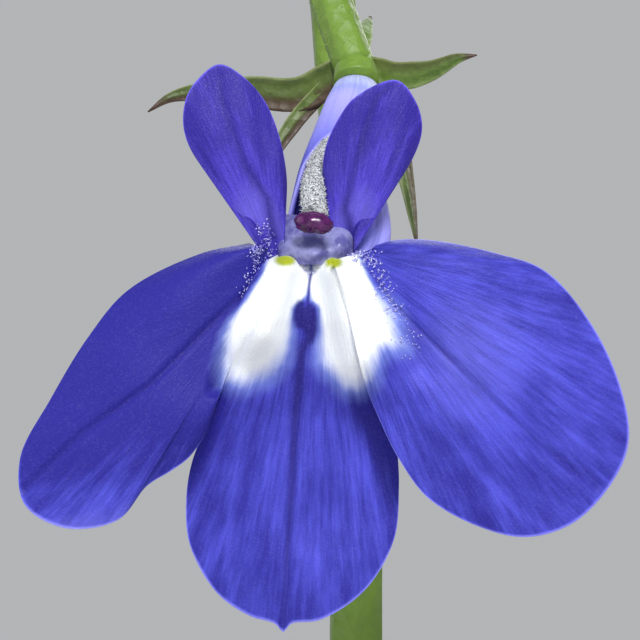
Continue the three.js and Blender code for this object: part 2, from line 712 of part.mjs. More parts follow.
function bloomGeometry(bloom) {
  const points = [];
  const put = (u, v, w) => {
    const { across, up, out, size } = bloom;
    points.push(along(bloom.throat, [across, u * size], [up, v * size], [out, w * size]));
    return points.length - 1;
  };
  const faces = [];
  const thick = PETAL.thickness / bloom.size;
  const front = THROAT.map(([u, v]) => put(u, v, 0));
  const rear = THROAT.map(([u, v]) => put(u, v, -thick));
  LOBES.forEach(({ outline, middle, bend }, i) => {
    const next = (i + 1) % LOBES.length;
    const rim = outline.map(([u, v]) => put(u, v, bend * Math.hypot(u, v) / PETAL.length));
    const centreAt = bend * PETAL.centreBend;
    for (const [face, throat] of [[1, front], [-1, rear]]) {
      const centre = put(...middle, centreAt + 0.5 * thick * (face - PETAL.lean));
      const loop = [throat[i], ...rim, throat[next]];
      loop.forEach((a, j) => {
        const b = loop[(j + 1) % loop.length];
        faces.push(face === 1 ? [centre, a, b] : [centre, b, a]);
      });
    }
    faces.push([front[i], rear[i], rim[0]], [rear[next], front[next], rim[rim.length - 1]]);
  });
  const pit = put(0, PETAL.pitUp, -PETAL.throatDepth);
  const waist = THROAT.map(([u, v]) => put(
    WAIST.narrow * u, WAIST.narrow * v + WAIST.raise, -WAIST.back,
  ));
  const end = THROAT.map(([u, v]) => put(
    END.wide * u, END.high * v + END.raise, END.slant * v - END.back,
  ));
  for (let i = 0; i < THROAT.length; i += 1) {
    const next = (i + 1) % THROAT.length;
    faces.push([front[i], front[next], pit]);
    faces.push([rear[i], waist[next], rear[next]], [rear[i], waist[i], waist[next]]);
    faces.push([waist[i], end[next], waist[next]], [waist[i], end[i], end[next]]);
  }
  for (let i = 1; i < THROAT.length - 1; i += 1) faces.push([end[0], end[i + 1], end[i]]);
  return geometryFrom(points, faces);
}

// Front bloom, in millimetres right, up and towards the viewer of the photo's middle

// A closed blade: rings of points run from its base line to its edge, which both faces share.
function lobeGeometry({ base, edge, depth }) {
  const shares = [0, 0.5, 1];
  const faces = [];
  const points = [];
  const put = (share, j, face) => {
    const t = j / (edge.length - 1);
    const [[bu, bv], [cu, cv]] = base;
    const [eu, ev] = edge[j];
    const swell = share === 1 ? 0 : 0.5 * face * FRONT.petal;
    const edgeDepth = mix(depth.edge[0], depth.edge[1], t);
    const arch = depth.arch * Math.sin(Math.PI * share);
    points.push(frontPoint([
      mix(mix(bu, cu, t), eu, share),
      mix(mix(bv, cv, t), ev, share),
      mix(depth.base, edgeDepth, share) + arch + swell,
    ]));
    return points.length - 1;
  };
  const rows = [1, -1].map((face) => shares.slice(0, -1).map(
    (share) => edge.map((_, j) => put(share, j, face)),
  ));
  const rim = edge.map((_, j) => put(1, j, 0));
  rows.forEach((row, which) => {
    const all = [...row, rim];
    for (let r = 0; r < all.length - 1; r += 1) {
      for (let j = 0; j < edge.length - 1; j += 1) {
        const [a, b, c, d] = [all[r][j], all[r][j + 1], all[r + 1][j], all[r + 1][j + 1]];
        faces.push(...(which === 0 ? [[a, c, b], [b, c, d]] : [[a, b, c], [b, d, c]]));
      }
    }
  });
  const [[frontBase, frontMiddle], [rearBase, rearMiddle]] = rows;
  const last = edge.length - 1;
  for (let j = 0; j < last; j += 1) {
    faces.push([frontBase[j], frontBase[j + 1], rearBase[j]]);
    faces.push([rearBase[j], frontBase[j + 1], rearBase[j + 1]]);
  }
  faces.push([frontBase[0], rearBase[0], frontMiddle[0]]);
  faces.push([frontMiddle[0], rearBase[0], rearMiddle[0]]);
  faces.push([frontMiddle[0], rearMiddle[0], rim[0]]);
  faces.push([frontBase[last], frontMiddle[last], rearBase[last]]);
  faces.push([frontMiddle[last], rearMiddle[last], rearBase[last]]);
  faces.push([frontMiddle[last], rim[last], rearMiddle[last]]);
  return geometryFrom(points, faces);
}

// A closed lens: an outline with one raised point in front and one behind.
function lensGeometry(outline, level, front, rear) {
  const points = [front, rear, ...outline.map(([u, v]) => [u, v, level])].map(frontPoint);
  const faces = [];
  outline.forEach((_, j) => {
    const [here, next] = [2 + j, 2 + ((j + 1) % outline.length)];
    faces.push([0, here, next], [1, next, here]);
  });
  return geometryFrom(points, faces);
}

// A tube through [right, up, near, half width, half height] stations, level in the view.
function frontTube(stations, extra, sides) {
  const across = vec(1, 0, 0);
  return loft(stations.map(([u, v, w, wide, high], i) => {
    const here = frontPoint([u, v, w]);
    const before = stations[Math.max(i - 1, 0)];
    const after = stations[Math.min(i + 1, stations.length - 1)];
    const axis = frontPoint(after).sub(frontPoint(before)).normalize();
    const b = cross(axis, across).normalize();
    const a = cross(b, axis);
    return Array.from({ length: sides }, (_, s) => {
      const angle = (2 * Math.PI * s) / sides;
      const [halfWidth, halfHeight] = [wide + extra, high + extra];
      return along(here, [a, halfWidth * Math.cos(angle)], [b, halfHeight * Math.sin(angle)]);
    });
  }));
}

function frontCorolla() {
  const outside = [
    ...FRONT_LOBES.map(lobeGeometry),
    ...RIDGES.map(({ outline, crest, root }) => lensGeometry(outline, 0, crest, root)),
    frontTube(COROLLA_TUBE, 0, TUBE_SIDES.corolla),
  ];
  return fuse(outside)
    .subtract(solidFrom(frontTube(COROLLA_MOUTH, 0, TUBE_SIDES.anthers)))
    .subtract(solidFrom(frontTube(ANTHER_TUBE, GAP, TUBE_SIDES.anthers)));
}

function frontStigma() {
  const { at, halfWidth, halfHeight, halfDepth, around, rows } = STIGMA;
  const ball = new THREE.SphereGeometry(1, around, rows).scale(halfWidth, halfDepth, halfHeight);
  const place = frontPoint(at);
  return ball.rotateX(FRONT.lookUp).translate(place.x, place.y, place.z);
}

const random = seededRandom(BUSH.seed);
const bushStems = placeStems(random);
const blooms = placeBlooms(random);
joinBlooms(bushStems, blooms);
const frontStem = placeFrontStem();
const stems = [frontStem, ...bushStems];
const allBlooms = [placeFrontBloom(), ...blooms];
stems.forEach(tracePaths);
for (const stem of stems) stem.leaves = placeLeaves(stem, stems, allBlooms, random);

const plant = new THREE.Group();
plant.add(namedMesh('pot', potGeometry(), COLOURS.terracotta, 0.85));
plant.add(namedMesh('soil', soilGeometry(stems), COLOURS.soil, 1));
stems.forEach((stem, i) => {
  const name = stem.isFront ? 'stem_front' : `stem_${String(i).padStart(2, '0')}`;
  plant.add(namedMesh(name, geometryOf(fuse(stemPieces(stem))), COLOURS.leaf, 0.6));
});
plant.add(namedMesh('front_corolla', geometryOf(frontCorolla()), COLOURS.petal, 0.5));
const anthers = frontTube(ANTHER_TUBE, 0, TUBE_SIDES.anthers);
plant.add(namedMesh('front_anthers', anthers, COLOURS.anther, 0.6));
plant.add(namedMesh('front_stigma', frontStigma(), COLOURS.stigma, 0.3));
blooms.forEach((bloom, i) => {
  const name = `bloom_${String(i + 1).padStart(2, '0')}`;
  plant.add(namedMesh(name, bloomGeometry(bloom), COLOURS.petal, 0.5));
});

export default plant;
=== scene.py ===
# Potted upright lobelia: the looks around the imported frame. +Z is up and the front is towards -Y.
# Lengths are in millimetres until a mesh is made, and a mesh is in metres.
import math

import bpy
import numpy as np
from mathutils import Matrix

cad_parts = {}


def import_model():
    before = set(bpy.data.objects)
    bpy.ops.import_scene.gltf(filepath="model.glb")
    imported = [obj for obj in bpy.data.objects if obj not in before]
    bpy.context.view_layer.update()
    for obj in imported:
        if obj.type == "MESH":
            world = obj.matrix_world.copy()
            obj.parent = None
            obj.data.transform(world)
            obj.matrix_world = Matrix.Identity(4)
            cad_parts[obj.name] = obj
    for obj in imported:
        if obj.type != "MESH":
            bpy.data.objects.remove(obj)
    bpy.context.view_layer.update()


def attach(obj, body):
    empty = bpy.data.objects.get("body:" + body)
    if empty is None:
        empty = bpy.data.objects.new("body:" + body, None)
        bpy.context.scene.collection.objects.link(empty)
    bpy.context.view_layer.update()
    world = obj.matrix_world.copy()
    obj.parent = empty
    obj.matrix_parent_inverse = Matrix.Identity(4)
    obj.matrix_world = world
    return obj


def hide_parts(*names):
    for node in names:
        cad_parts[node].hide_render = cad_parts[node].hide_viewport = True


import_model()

METRE = 0.001
GOLDEN_ANGLE = math.pi * (3 - math.sqrt(5))
UP = np.array([0.0, 0.0, 1.0])
NO_MARKS = (0, 0, 0, 0)
SEEDS = dict(front=11, blooms=23, stems=31, soil=5)


# Small maths

def vec(*values):
    return np.array(values, float)


def unit(v):
    v = np.asarray(v, float)
    return v / np.linalg.norm(v, axis=-1, keepdims=True)


def mix(a, b, t):
    return a + (b - a) * t


def smoothstep(low, high, x):
    t = np.clip((x - low) / (high - low), 0, 1)
    return t * t * (3 - 2 * t)


def bell(distance, width):
    return np.exp(-(distance / width) ** 2)


def circle(count):
    """Angles evenly round a full turn."""
    return np.linspace(0, 2 * math.pi, count, endpoint=False)


def turned_by(a, b, angle):
    return a * math.cos(angle) + b * math.sin(angle)


def seeded_random(seed):
    """Draws the same numbers from 0 to 1 as the part's source does."""
    state = seed
    while True:
        state = (state * 1664525 + 1013904223) % 4294967296
        yield state / 4294967296


def bezier(points, t):
    a, b, c, d = points
    t = np.asarray(t, float)[..., None]
    return (1 - t) ** 3 * a + 3 * (1 - t) ** 2 * t * b + 3 * (1 - t) * t * t * c + t ** 3 * d


def tangent(points, t, step=1e-4):
    low = max(0.0, t - step)
    high = min(1.0, t + step)
    return unit(bezier(points, high) - bezier(points, low))


def smooth_path(points, count):
    """count points evenly along a smooth curve through the given ones."""
    points = np.asarray(points, float)
    gaps = np.linalg.norm(np.diff(points, axis=0), axis=1)
    knots = np.concatenate([[0], np.cumsum(np.sqrt(gaps))])
    slopes = np.gradient(points, knots, axis=0)
    fine = np.linspace(0, knots[-1], 12 * count)
    i = np.clip(np.searchsorted(knots, fine, side="right") - 1, 0, len(points) - 2)
    span = (knots[i + 1] - knots[i])[:, None]
    x = ((fine - knots[i])[:, None]) / span
    curve = (
        (2 * x ** 3 - 3 * x ** 2 + 1) * points[i]
        + (x ** 3 - 2 * x ** 2 + x) * span * slopes[i]
        + (3 * x ** 2 - 2 * x ** 3) * points[i + 1]
        + (x ** 3 - x ** 2) * span * slopes[i + 1]
    )
    walked = np.concatenate([[0], np.cumsum(np.linalg.norm(np.diff(curve, axis=0), axis=1))])
    even = np.linspace(0, walked[-1], count)
    return np.stack([np.interp(even, walked, curve[:, k]) for k in range(curve.shape[1])], -1)


def from_path(points, path):
    """The distance from each point to a path, and how far along the path that is, from 0 to 1."""
    path = np.asarray(path, float)
    points = np.asarray(points, float)
    steps = np.linalg.norm(np.diff(path, axis=0), axis=1)
    walked = np.concatenate([[0], np.cumsum(steps)]) / steps.sum()
    best = np.full(points.shape[:-1], np.inf)
    along = np.zeros(points.shape[:-1])
    for i in range(len(path) - 1):
        edge = path[i + 1] - path[i]
        share = np.clip(((points - path[i]) @ edge) / (edge @ edge), 0, 1)
        gap = np.linalg.norm(points - path[i] - share[..., None] * edge, axis=-1)
        nearer = gap < best
        best = np.where(nearer, gap, best)
        along = np.where(nearer, mix(walked[i], walked[i + 1], share), along)
    return best, along


def depth_inside(points, polygon):
    """How far inside a closed outline each point lies; outside it is below zero."""
    outline = np.vstack([polygon, polygon[:1]])
    gap, _ = from_path(points, outline)
    inside = np.zeros(points.shape[:-1], bool)
    x, y = points[..., 0], points[..., 1]
    for (x0, y0), (x1, y1) in zip(outline[:-1], outline[1:]):
        crosses = (y0 > y) != (y1 > y)
        level = np.where(crosses, (y - y0) / (y1 - y0 + 1e-12), 0)
        inside ^= crosses & (x < x0 + level * (x1 - x0))
    return np.where(inside, gap, -gap)


def waves(rng, x, y, count, low, high):
    """A smooth field of about unit size, made of sines between two frequencies."""
    field = np.zeros(np.broadcast(x, y).shape)
    for _ in range(count):
        pace = rng.uniform(low, high)
        turn = rng.uniform(0, 2 * math.pi)
        phase = rng.uniform(0, 2 * math.pi)
        field += np.sin(pace * (x * math.cos(turn) + y * math.sin(turn)) + phase)
    return field / math.sqrt(count)


# Meshes

def grid_quads(rows, columns, around=False):
    """Quads between neighbours in a grid of points that is stored row by row."""
    across = columns if around else columns - 1
    r, c = np.meshgrid(np.arange(rows - 1), np.arange(across), indexing="ij")
    a = r * columns + c
    b = r * columns + (c + 1) % columns
    return np.stack([a, b, b + columns, a + columns], -1).reshape(-1, 4)


def border_of(rows, columns):
    last = (rows - 1) * columns
    return np.concatenate([
        np.arange(columns),
        np.arange(1, rows) * columns + columns - 1,
        last + np.arange(columns - 2, -1, -1),
        np.arange(rows - 2, 0, -1) * columns,
    ])


def facing_out(points, blocks):
    """The faces of a closed body, turned so that they face out of it."""
    centred = points - points.mean(0)
    volume = 0.0
    for block in blocks:
        for k in range(1, block.shape[1] - 1):
            a, b, c = (centred[block[:, j]] for j in (0, k, k + 1))
            volume += np.einsum("ij,ij->", a, np.cross(b, c))
    return blocks if volume > 0 else [block[:, ::-1] for block in blocks]


class Shape:
    """The points and faces of one piece, gathered part by part, with four colour marks a point."""

    def __init__(self):
        self.points, self.marks, self.lay, self.blocks = [], [], [], []
        self.count = 0

    def add(self, points, blocks, marks=NO_MARKS, lay=None, material=0):
        points = np.asarray(points, float).reshape(-1, 3)
        marks = np.asarray(marks, float)
        if marks.ndim > 1:
            marks = marks.reshape(-1, 4)
        lay = points[:, :2] if lay is None else np.asarray(lay, float).reshape(-1, 2)
        self.points.append(points)
        self.marks.append(np.broadcast_to(marks, (len(points), 4)))
        self.lay.append(lay)
        for block in blocks:
            self.blocks.append((block + self.count, material))
        self.count += len(points)

    def add_sheet(self, front, back, marks, back_marks, lay, material=0):
        """A closed thin body between two grids of points."""
        rows, columns = front.shape[:2]
        size = rows * columns
        quads = grid_quads(rows, columns)
        here = border_of(rows, columns)
        after = np.roll(here, -1)
        strip = np.stack([after, here, here + size, after + size], -1)
        points = np.vstack([front.reshape(-1, 3), back.reshape(-1, 3)])
        blocks = facing_out(points, [quads, quads[:, ::-1] + size, strip])
        both = np.vstack([marks.reshape(-1, 4), back_marks.reshape(-1, 4)])
        self.add(points, blocks, both, np.vstack([lay.reshape(-1, 2)] * 2), material)

    def add_rings(self, rings, marks=NO_MARKS, material=0):
        """A closed body through rings of points, with a point in the middle of each end."""
        count, sides = rings.shape[:2]
        quads = grid_quads(count, sides, around=True)
        points = np.vstack([rings.reshape(-1, 3), rings[0].mean(0), rings[-1].mean(0)])
        s = np.arange(sides)
        after = (s + 1) % sides
        first = np.stack([s, np.full(sides, count * sides), after], -1)
        last = np.stack([s, after, np.full(sides, 1)], -1) + (count - 1) * sides
        last[:, 2] = count * sides + 1
        marks = np.asarray(marks, float)
        if marks.ndim > 1:
            marks = np.repeat(marks, sides, axis=0)
            marks = np.vstack([marks, marks[0], marks[-1]])
        far = np.repeat(np.arange(count), sides)
        round_share = np.tile(s / sides, count)
        lay = np.vstack([np.stack([far, round_share], -1), [0, 0], [count, 0]])
        self.add(points, facing_out(points, [quads, first, last]), marks, lay, material)

    def mesh(self, name, materials):
        points = np.vstack(self.points) * METRE
        sizes = np.concatenate([np.full(len(b), b.shape[1]) for b, _ in self.blocks])
        corners = np.concatenate([b.ravel() for b, _ in self.blocks])
        slots = np.concatenate([np.full(len(b), m) for b, m in self.blocks])
        mesh = bpy.data.meshes.new(name)
        mesh.vertices.add(len(points))
        mesh.vertices.foreach_set("co", points.astype(np.float32).ravel())
        mesh.loops.add(len(corners))
        mesh.loops.foreach_set("vertex_index", corners.astype(np.int32))
        mesh.polygons.add(len(sizes))
        starts = np.concatenate([[0], np.cumsum(sizes)[:-1]])
        mesh.polygons.foreach_set("loop_start", starts.astype(np.int32))
        mesh.polygons.foreach_set("material_index", slots.astype(np.int32))
        mesh.polygons.foreach_set("use_smooth", np.ones(len(sizes), bool))
        marks = mesh.color_attributes.new("marks", "FLOAT_COLOR", "POINT")
        marks.data.foreach_set("color", np.vstack(self.marks).astype(np.float32).ravel())
        lay = mesh.uv_layers.new(name="lay")
        lay.data.foreach_set("uv", np.vstack(self.lay)[corners].astype(np.float32).ravel())
        for material in materials:
            mesh.materials.append(material)
        mesh.update(calc_edges=True)
        return mesh


def new_object(name, data):
    made = bpy.data.objects.new(name, data)
    bpy.context.scene.collection.objects.link(made)
    return made


def add_piece(name, shape, materials, replaced=None):
    """Puts a shape in the scene as a piece of the plant, standing for a CAD node if one is named."""
    piece = new_object(name, shape.mesh(name, materials))
    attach(piece, "root")
    if replaced:
        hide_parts(replaced)
    return piece


def tube_rings(path, radii, sides, flat=1.0):
    """Rings square to a path, turning as little as they can from one to the next."""
    path = np.asarray(path, float)
    ahead = unit(np.gradient(path, axis=0))
    side = unit(np.cross(ahead[0], [0.31, 0.83, 0.1]))
    angle = circle(sides)[:, None]
    rings = []
    for centre, axis, radius in zip(path, ahead, np.broadcast_to(radii, len(path))):
        side = unit(side - axis * (side @ axis))
        other = np.cross(axis, side)
        rings.append(centre + radius * (np.cos(angle) * side + flat * np.sin(angle) * other))
    return np.array(rings)


def ridged(rings, path, factors):
    """Rings whose sides stand out from their path by a factor each."""
    return path[:, None] + (rings - path[:, None]) * factors[None, :, None]


def add_hairs(shape, roots, directions, lengths, radius, material=0, marks=NO_MARKS):
    """Fine pointed hairs, each a closed three-sided spike."""
    directions = unit(directions)
    side = unit(np.cross(directions, [0.2, 0.5, 0.9]))
    other = np.cross(directions, side)
    corners = [
        roots + radius * (math.cos(a) * side + math.sin(a) * other)
        for a in (0, 2 * math.pi / 3, 4 * math.pi / 3)
    ]
    tips = roots + directions * np.asarray(lengths).reshape(-1, 1)
    points = np.stack([*corners, tips], 1)
    spike = np.array([[0, 1, 3], [1, 2, 3], [2, 0, 3], [0, 2, 1]])
    faces = (np.arange(len(roots))[:, None, None] * 4 + spike).reshape(-1, 3)
    shape.add(points, [faces], marks, material=material)


def add_beads(shape, centres, radii, material=0, marks=NO_MARKS, squash=(1, 1, 1)):
    """Small rounded beads with six points round each of three levels."""
    rings = [(-0.7, 0.72), (0, 1.0), (0.7, 0.72)]
    around = 6
    angle = np.arange(around) * 2 * math.pi / around
    points = [[0, 0, -1]]
    for level, wide in rings:
        points += [[wide * math.cos(a), wide * math.sin(a), level] for a in angle]
    points.append([0, 0, 1])
    points = np.array(points) * squash
    faces = []
    top = 3 * around + 1
    for k in range(around):
        after = (k + 1) % around
        faces.append([0, 1 + after, 1 + k])
        for r in (0, 1):
            a, b = 1 + r * around + k, 1 + r * around + after
            faces += [[a, b, b + around], [a, b + around, a + around]]
        faces.append([1 + 2 * around + k, 1 + 2 * around + after, top])
    faces = np.array(faces)
    centres = np.asarray(centres, float).reshape(-1, 1, 3)
    placed = centres + points[None] * np.broadcast_to(radii, len(centres))[:, None, None]
    blocks = (np.arange(len(centres))[:, None, None] * len(points) + faces).reshape(-1, 3)
    shape.add(placed, [blocks], marks, material=material)


# Materials

def new_tree(name):
    material = bpy.data.materials.new(name)
    material.use_nodes = True
    return material, material.node_tree, material.node_tree.nodes["Principled BSDF"]


def put(tree, socket, value):
    if isinstance(value, bpy.types.NodeSocket):
        tree.links.new(value, socket)
    else:
        socket.default_value = value


def math_of(tree, operation, *values):
    node = tree.nodes.new("ShaderNodeMath")
    node.operation = operation
    for socket, value in zip(node.inputs, values):
        put(tree, socket, value)
    return node.outputs[0]


def blend_of(tree, factor, a, b):
    node = tree.nodes.new("ShaderNodeMix")
    node.data_type = "RGBA"
    for index, value in ((0, factor), (6, a), (7, b)):
        put(tree, node.inputs[index], value)
    return node.outputs[2]


def layered(tree, base, *layers):
    """A colour with others over it, each shown where its mask is 1."""
    for mask, over in layers:
        base = blend_of(tree, mask, base, over)
    return base


def sum_of(tree, start, *terms):
    """A start value plus each value times its weight."""
    total = start
    for value, weight in terms:
        total = math_of(tree, "MULTIPLY_ADD", value, weight, total)
    return total


def range_of(tree, value, low, high, to_low=0.0, to_high=1.0):
    node = tree.nodes.new("ShaderNodeMapRange")
    node.interpolation_type = "SMOOTHSTEP"
    for index, item in enumerate((value, low, high, to_low, to_high)):
        put(tree, node.inputs[index], item)
    return node.outputs[0]


def noise_of(tree, vector, scale, detail=2.0, roughness=0.5):
    node = tree.nodes.new("ShaderNodeTexNoise")
    put(tree, node.inputs["Vector"], vector)
    node.inputs["Scale"].default_value = scale
    node.inputs["Detail"].default_value = detail
    node.inputs["Roughness"].default_value = roughness
    return node.outputs["Fac"]


def cells_of(tree, vector, scale, output="Distance"):
    node = tree.nodes.new("ShaderNodeTexVoronoi")
    put(tree, node.inputs["Vector"], vector)
    node.inputs["Scale"].default_value = scale
    return node.outputs[output]


def scaled(tree, vector, factors):
    node = tree.nodes.new("ShaderNodeVectorMath")
    node.operation = "MULTIPLY"
    put(tree, node.inputs[0], vector)
    node.inputs[1].default_value = factors
    return node.outputs[0]


def place_mm(tree):
    """The place on the object in millimetres."""
    node = tree.nodes.new("ShaderNodeTexCoord")
    return scaled(tree, node.outputs["Object"], (1 / METRE,) * 3)


def lay_of(tree, factors):
    node = tree.nodes.new("ShaderNodeUVMap")
    node.uv_map = "lay"
    return scaled(tree, node.outputs["UV"], factors)


def marks_of(tree):
    """The four colour marks of a point, each from 0 to 1."""
    node = tree.nodes.new("ShaderNodeAttribute")
    node.attribute_name = "marks"
    split = tree.nodes.new("ShaderNodeSeparateColor")
    tree.links.new(node.outputs["Color"], split.inputs[0])
    return split.outputs[0], split.outputs[1], split.outputs[2], node.outputs["Alpha"]


def bump_of(tree, shader, height, depth_mm, strength=1.0, under=None):
    node = tree.nodes.new("ShaderNodeBump")
    node.inputs["Strength"].default_value = strength
    node.inputs["Distance"].default_value = depth_mm * METRE
    put(tree, node.inputs["Height"], height)
    if under is not None:
        put(tree, node.inputs["Normal"], under)
    put(tree, shader.inputs["Normal"], node.outputs[0])
    return node.outputs[0]


def colour(r, g, b):
    """A colour given as 0 to 255 screen values."""
    linear = [((c / 255 + 0.055) / 1.055) ** 2.4 if c > 10 else c / 255 / 12.92 for c in (r, g, b)]
    return (*linear, 1.0)


PETAL_DEEP = colour(31, 27, 132)
PETAL_BRIGHT = colour(80, 83, 212)
UPPER_DEEP = colour(40, 26, 134)
UPPER_BRIGHT = colour(84, 70, 208)
PETAL_INDIGO = colour(20, 10, 102)
EYE_BLUE = colour(122, 142, 216)
# Colour of the painted highlights and glints on the petals, and of their pale backs.
PETAL_PALE_AND_HIGHLIGHT = colour(168, 166, 236)
EYE_WHITE = colour(236, 240, 243)
EYE_YELLOW = colour(160, 172, 22)
LEAF_DEEP = colour(52, 84, 22)
LEAF_FRESH = colour(96, 130, 40)
LEAF_YOUNG = colour(128, 160, 48)
LEAF_RIB = colour(168, 186, 120)
STEM_RED = colour(96, 58, 48)
TIP_BROWN_AND_SHADE = colour(58, 34, 22)
CLAY_DARK = colour(166, 92, 62)
CLAY_LIGHT = colour(190, 116, 82)
CLAY_BLOOM = colour(206, 160, 132)
CLAY_SPECK = colour(128, 68, 48)
CLAY_RING = colour(150, 84, 58)
SOIL_DARK = colour(34, 24, 18)
SOIL_LIGHT = colour(72, 52, 38)
SOIL_FIBRE = colour(104, 78, 56)
SOIL_CRUMB = colour(206, 196, 178)
SOIL_DAMP = colour(30, 22, 17)


def petal_material(name, deep=PETAL_DEEP, bright=PETAL_BRIGHT):
    """Marks: white eye, dark vein or blotch, yellow spot, and pale, which below zero is deep. Pale also
    carries the lobes' painted light and shade and the painted highlight along their rims.
    """
    material, tree, shader = new_tree(name)
    eye, dark, yellow, pale = marks_of(tree)
    spot = place_mm(tree)
    streak = noise_of(tree, lay_of(tree, (0.5, 3.2, 1)), 1.0, 3.0, 0.55)
    thin = noise_of(tree, lay_of(tree, (1.1, 14.0, 1)), 1.0, 2.0, 0.6)
    cloud = noise_of(tree, spot, 0.7, 2.0, 0.5)
    cell = cells_of(tree, spot, 15.0)
    glint = cells_of(tree, spot, 24.0, "Color")
    tone = sum_of(tree, 0.0, (streak, 1.1), (cloud, 0.6), (thin, 0.8), (pale, 1.6))
    base = blend_of(tree, range_of(tree, tone, 0.65, 1.95), deep, bright)
    ragged = sum_of(tree, -0.32, (thin, 0.06), (streak, 0.28), (cloud, 0.3))
    edge = math_of(tree, "ADD", eye, ragged)
    split = tree.nodes.new("ShaderNodeSeparateColor")
    tree.links.new(glint, split.inputs[0])
    base = layered(
        tree, base,
        (pale, PETAL_PALE_AND_HIGHLIGHT),
        (range_of(tree, edge, 0.12, 0.66, 0.0, 0.75), EYE_BLUE),
        (range_of(tree, edge, 0.42, 0.88), EYE_WHITE),
        (dark, PETAL_INDIGO),
        (yellow, EYE_YELLOW),
        # painted glints: tiny scattered pale dots
        (range_of(tree, split.outputs[0], 0.7, 1.0, 0.0, 0.035), PETAL_PALE_AND_HIGHLIGHT))
    put(tree, shader.inputs["Base Color"], base)
    put(tree, shader.inputs["Roughness"], range_of(tree, cell, 0.0, 0.6, 0.36, 0.6))
    shader.inputs["Sheen Weight"].default_value = 0.05
    shader.inputs["Sheen Roughness"].default_value = 0.35
    shader.inputs["Sheen Tint"].default_value = colour(170, 165, 255)
    shader.inputs["Specular IOR Level"].default_value = 0.25
    under = bump_of(tree, shader, thin, 0.05, 0.5)
    bump_of(tree, shader, math_of(tree, "SUBTRACT", 1.0, cell), 0.016, 0.6, under)
    return material


def green_material(name, deep, fresh):
    """Marks: brown, for brown tips and for the painted shade of the front sepals; pale, for a pale rib or
    edge and for the painted highlight along the front sepals' edges; young growth; reddish stem.
    """
    material, tree, shader = new_tree(name)
    brown_and_shade, pale, young, red = marks_of(tree)
    spot = place_mm(tree)
    cloud = noise_of(tree, spot, 0.35, 3.0, 0.6)
    grain = noise_of(tree, spot, 5.0, 3.0, 0.6)
    net = cells_of(tree, spot, 2.2)
    tone = sum_of(tree, 0.0, (cloud, 1.4), (grain, 0.5))
    base = blend_of(tree, range_of(tree, tone, 0.6, 1.35), deep, fresh)
    base = layered(tree, base, (young, LEAF_YOUNG), (red, STEM_RED), (pale, LEAF_RIB),
                   (brown_and_shade, TIP_BROWN_AND_SHADE))
    put(tree, shader.inputs["Base Color"], base)
    put(tree, shader.inputs["Roughness"], range_of(tree, grain, 0.2, 0.8, 0.38, 0.58))
    shader.inputs["Specular IOR Level"].default_value = 0.4
    shader.inputs["Sheen Weight"].default_value = 0.1
    under = bump_of(tree, shader, net, 0.12, 0.5)
    bump_of(tree, shader, grain, 0.03, 0.5, under)
    return material


def plain_material(name, dark, light, size, roughness, depth, sheen=0.0, specular=0.5):
    """Two tones of one colour in fine noise of a given grain, with bump."""
    material, tree, shader = new_tree(name)
    spot = place_mm(tree)
    grain = noise_of(tree, spot, 1 / size, 3.0, 0.65)
    cell = cells_of(tree, spot, 1.4 / size)
    put(tree, shader.inputs["Base Color"],
        blend_of(tree, range_of(tree, grain, 0.38, 0.62), dark, light))
    put(tree, shader.inputs["Roughness"],
        range_of(tree, grain, 0.3, 0.7, roughness - 0.08, roughness + 0.08))
    shader.inputs["Sheen Weight"].default_value = sheen
    shader.inputs["Specular IOR Level"].default_value = specular
    bump_of(tree, shader, cell, depth, 0.7)
    return material


def terracotta_material():
    material, tree, shader = new_tree("terracotta")
    spot = place_mm(tree)
    drift = noise_of(tree, spot, 0.045, 4.0, 0.6)
    mottle = noise_of(tree, spot, 0.5, 4.0, 0.65)
    grain = noise_of(tree, spot, 4.5, 3.0, 0.7)
    rings = noise_of(tree, scaled(tree, spot, (0.02, 0.02, 1.1)), 1.0, 2.0, 0.5)
    base = blend_of(tree, range_of(tree, mottle, 0.3, 0.7), CLAY_DARK, CLAY_LIGHT)
    base = layered(tree, base,
                   (range_of(tree, drift, 0.5, 0.75, 0.0, 0.5), CLAY_BLOOM),
                   (range_of(tree, grain, 0.62, 0.8, 0.0, 0.5), CLAY_SPECK),
                   (range_of(tree, rings, 0.55, 0.75, 0.0, 0.3), CLAY_RING))
    put(tree, shader.inputs["Base Color"], base)
    put(tree, shader.inputs["Roughness"], range_of(tree, mottle, 0.2, 0.8, 0.78, 0.92))
    shader.inputs["Specular IOR Level"].default_value = 0.3
    under = bump_of(tree, shader, rings, 0.25, 0.4)
    bump_of(tree, shader, grain, 0.12, 0.5, under)
    return material


def soil_material():
    """Marks: pale crumb of wood or perlite in the first, damp in the second."""
    material, tree, shader = new_tree("soil")
    pale, damp, _, _ = marks_of(tree)
    spot = place_mm(tree)
    mottle = noise_of(tree, spot, 0.6, 4.0, 0.7)
    grain = noise_of(tree, spot, 3.5, 4.0, 0.7)
    base = blend_of(tree, range_of(tree, mottle, 0.3, 0.7), SOIL_DARK, SOIL_LIGHT)
    base = layered(tree, base, (range_of(tree, grain, 0.6, 0.8, 0.0, 0.6), SOIL_FIBRE),
                   (pale, SOIL_CRUMB), (damp, SOIL_DAMP))
    put(tree, shader.inputs["Base Color"], base)
    shader.inputs["Roughness"].default_value = 0.92
    shader.inputs["Specular IOR Level"].default_value = 0.25
    under = bump_of(tree, shader, mottle, 0.6, 0.6)
    bump_of(tree, shader, grain, 0.2, 0.6, under)
    return material


# Where the part's source puts stems, blooms and leaves

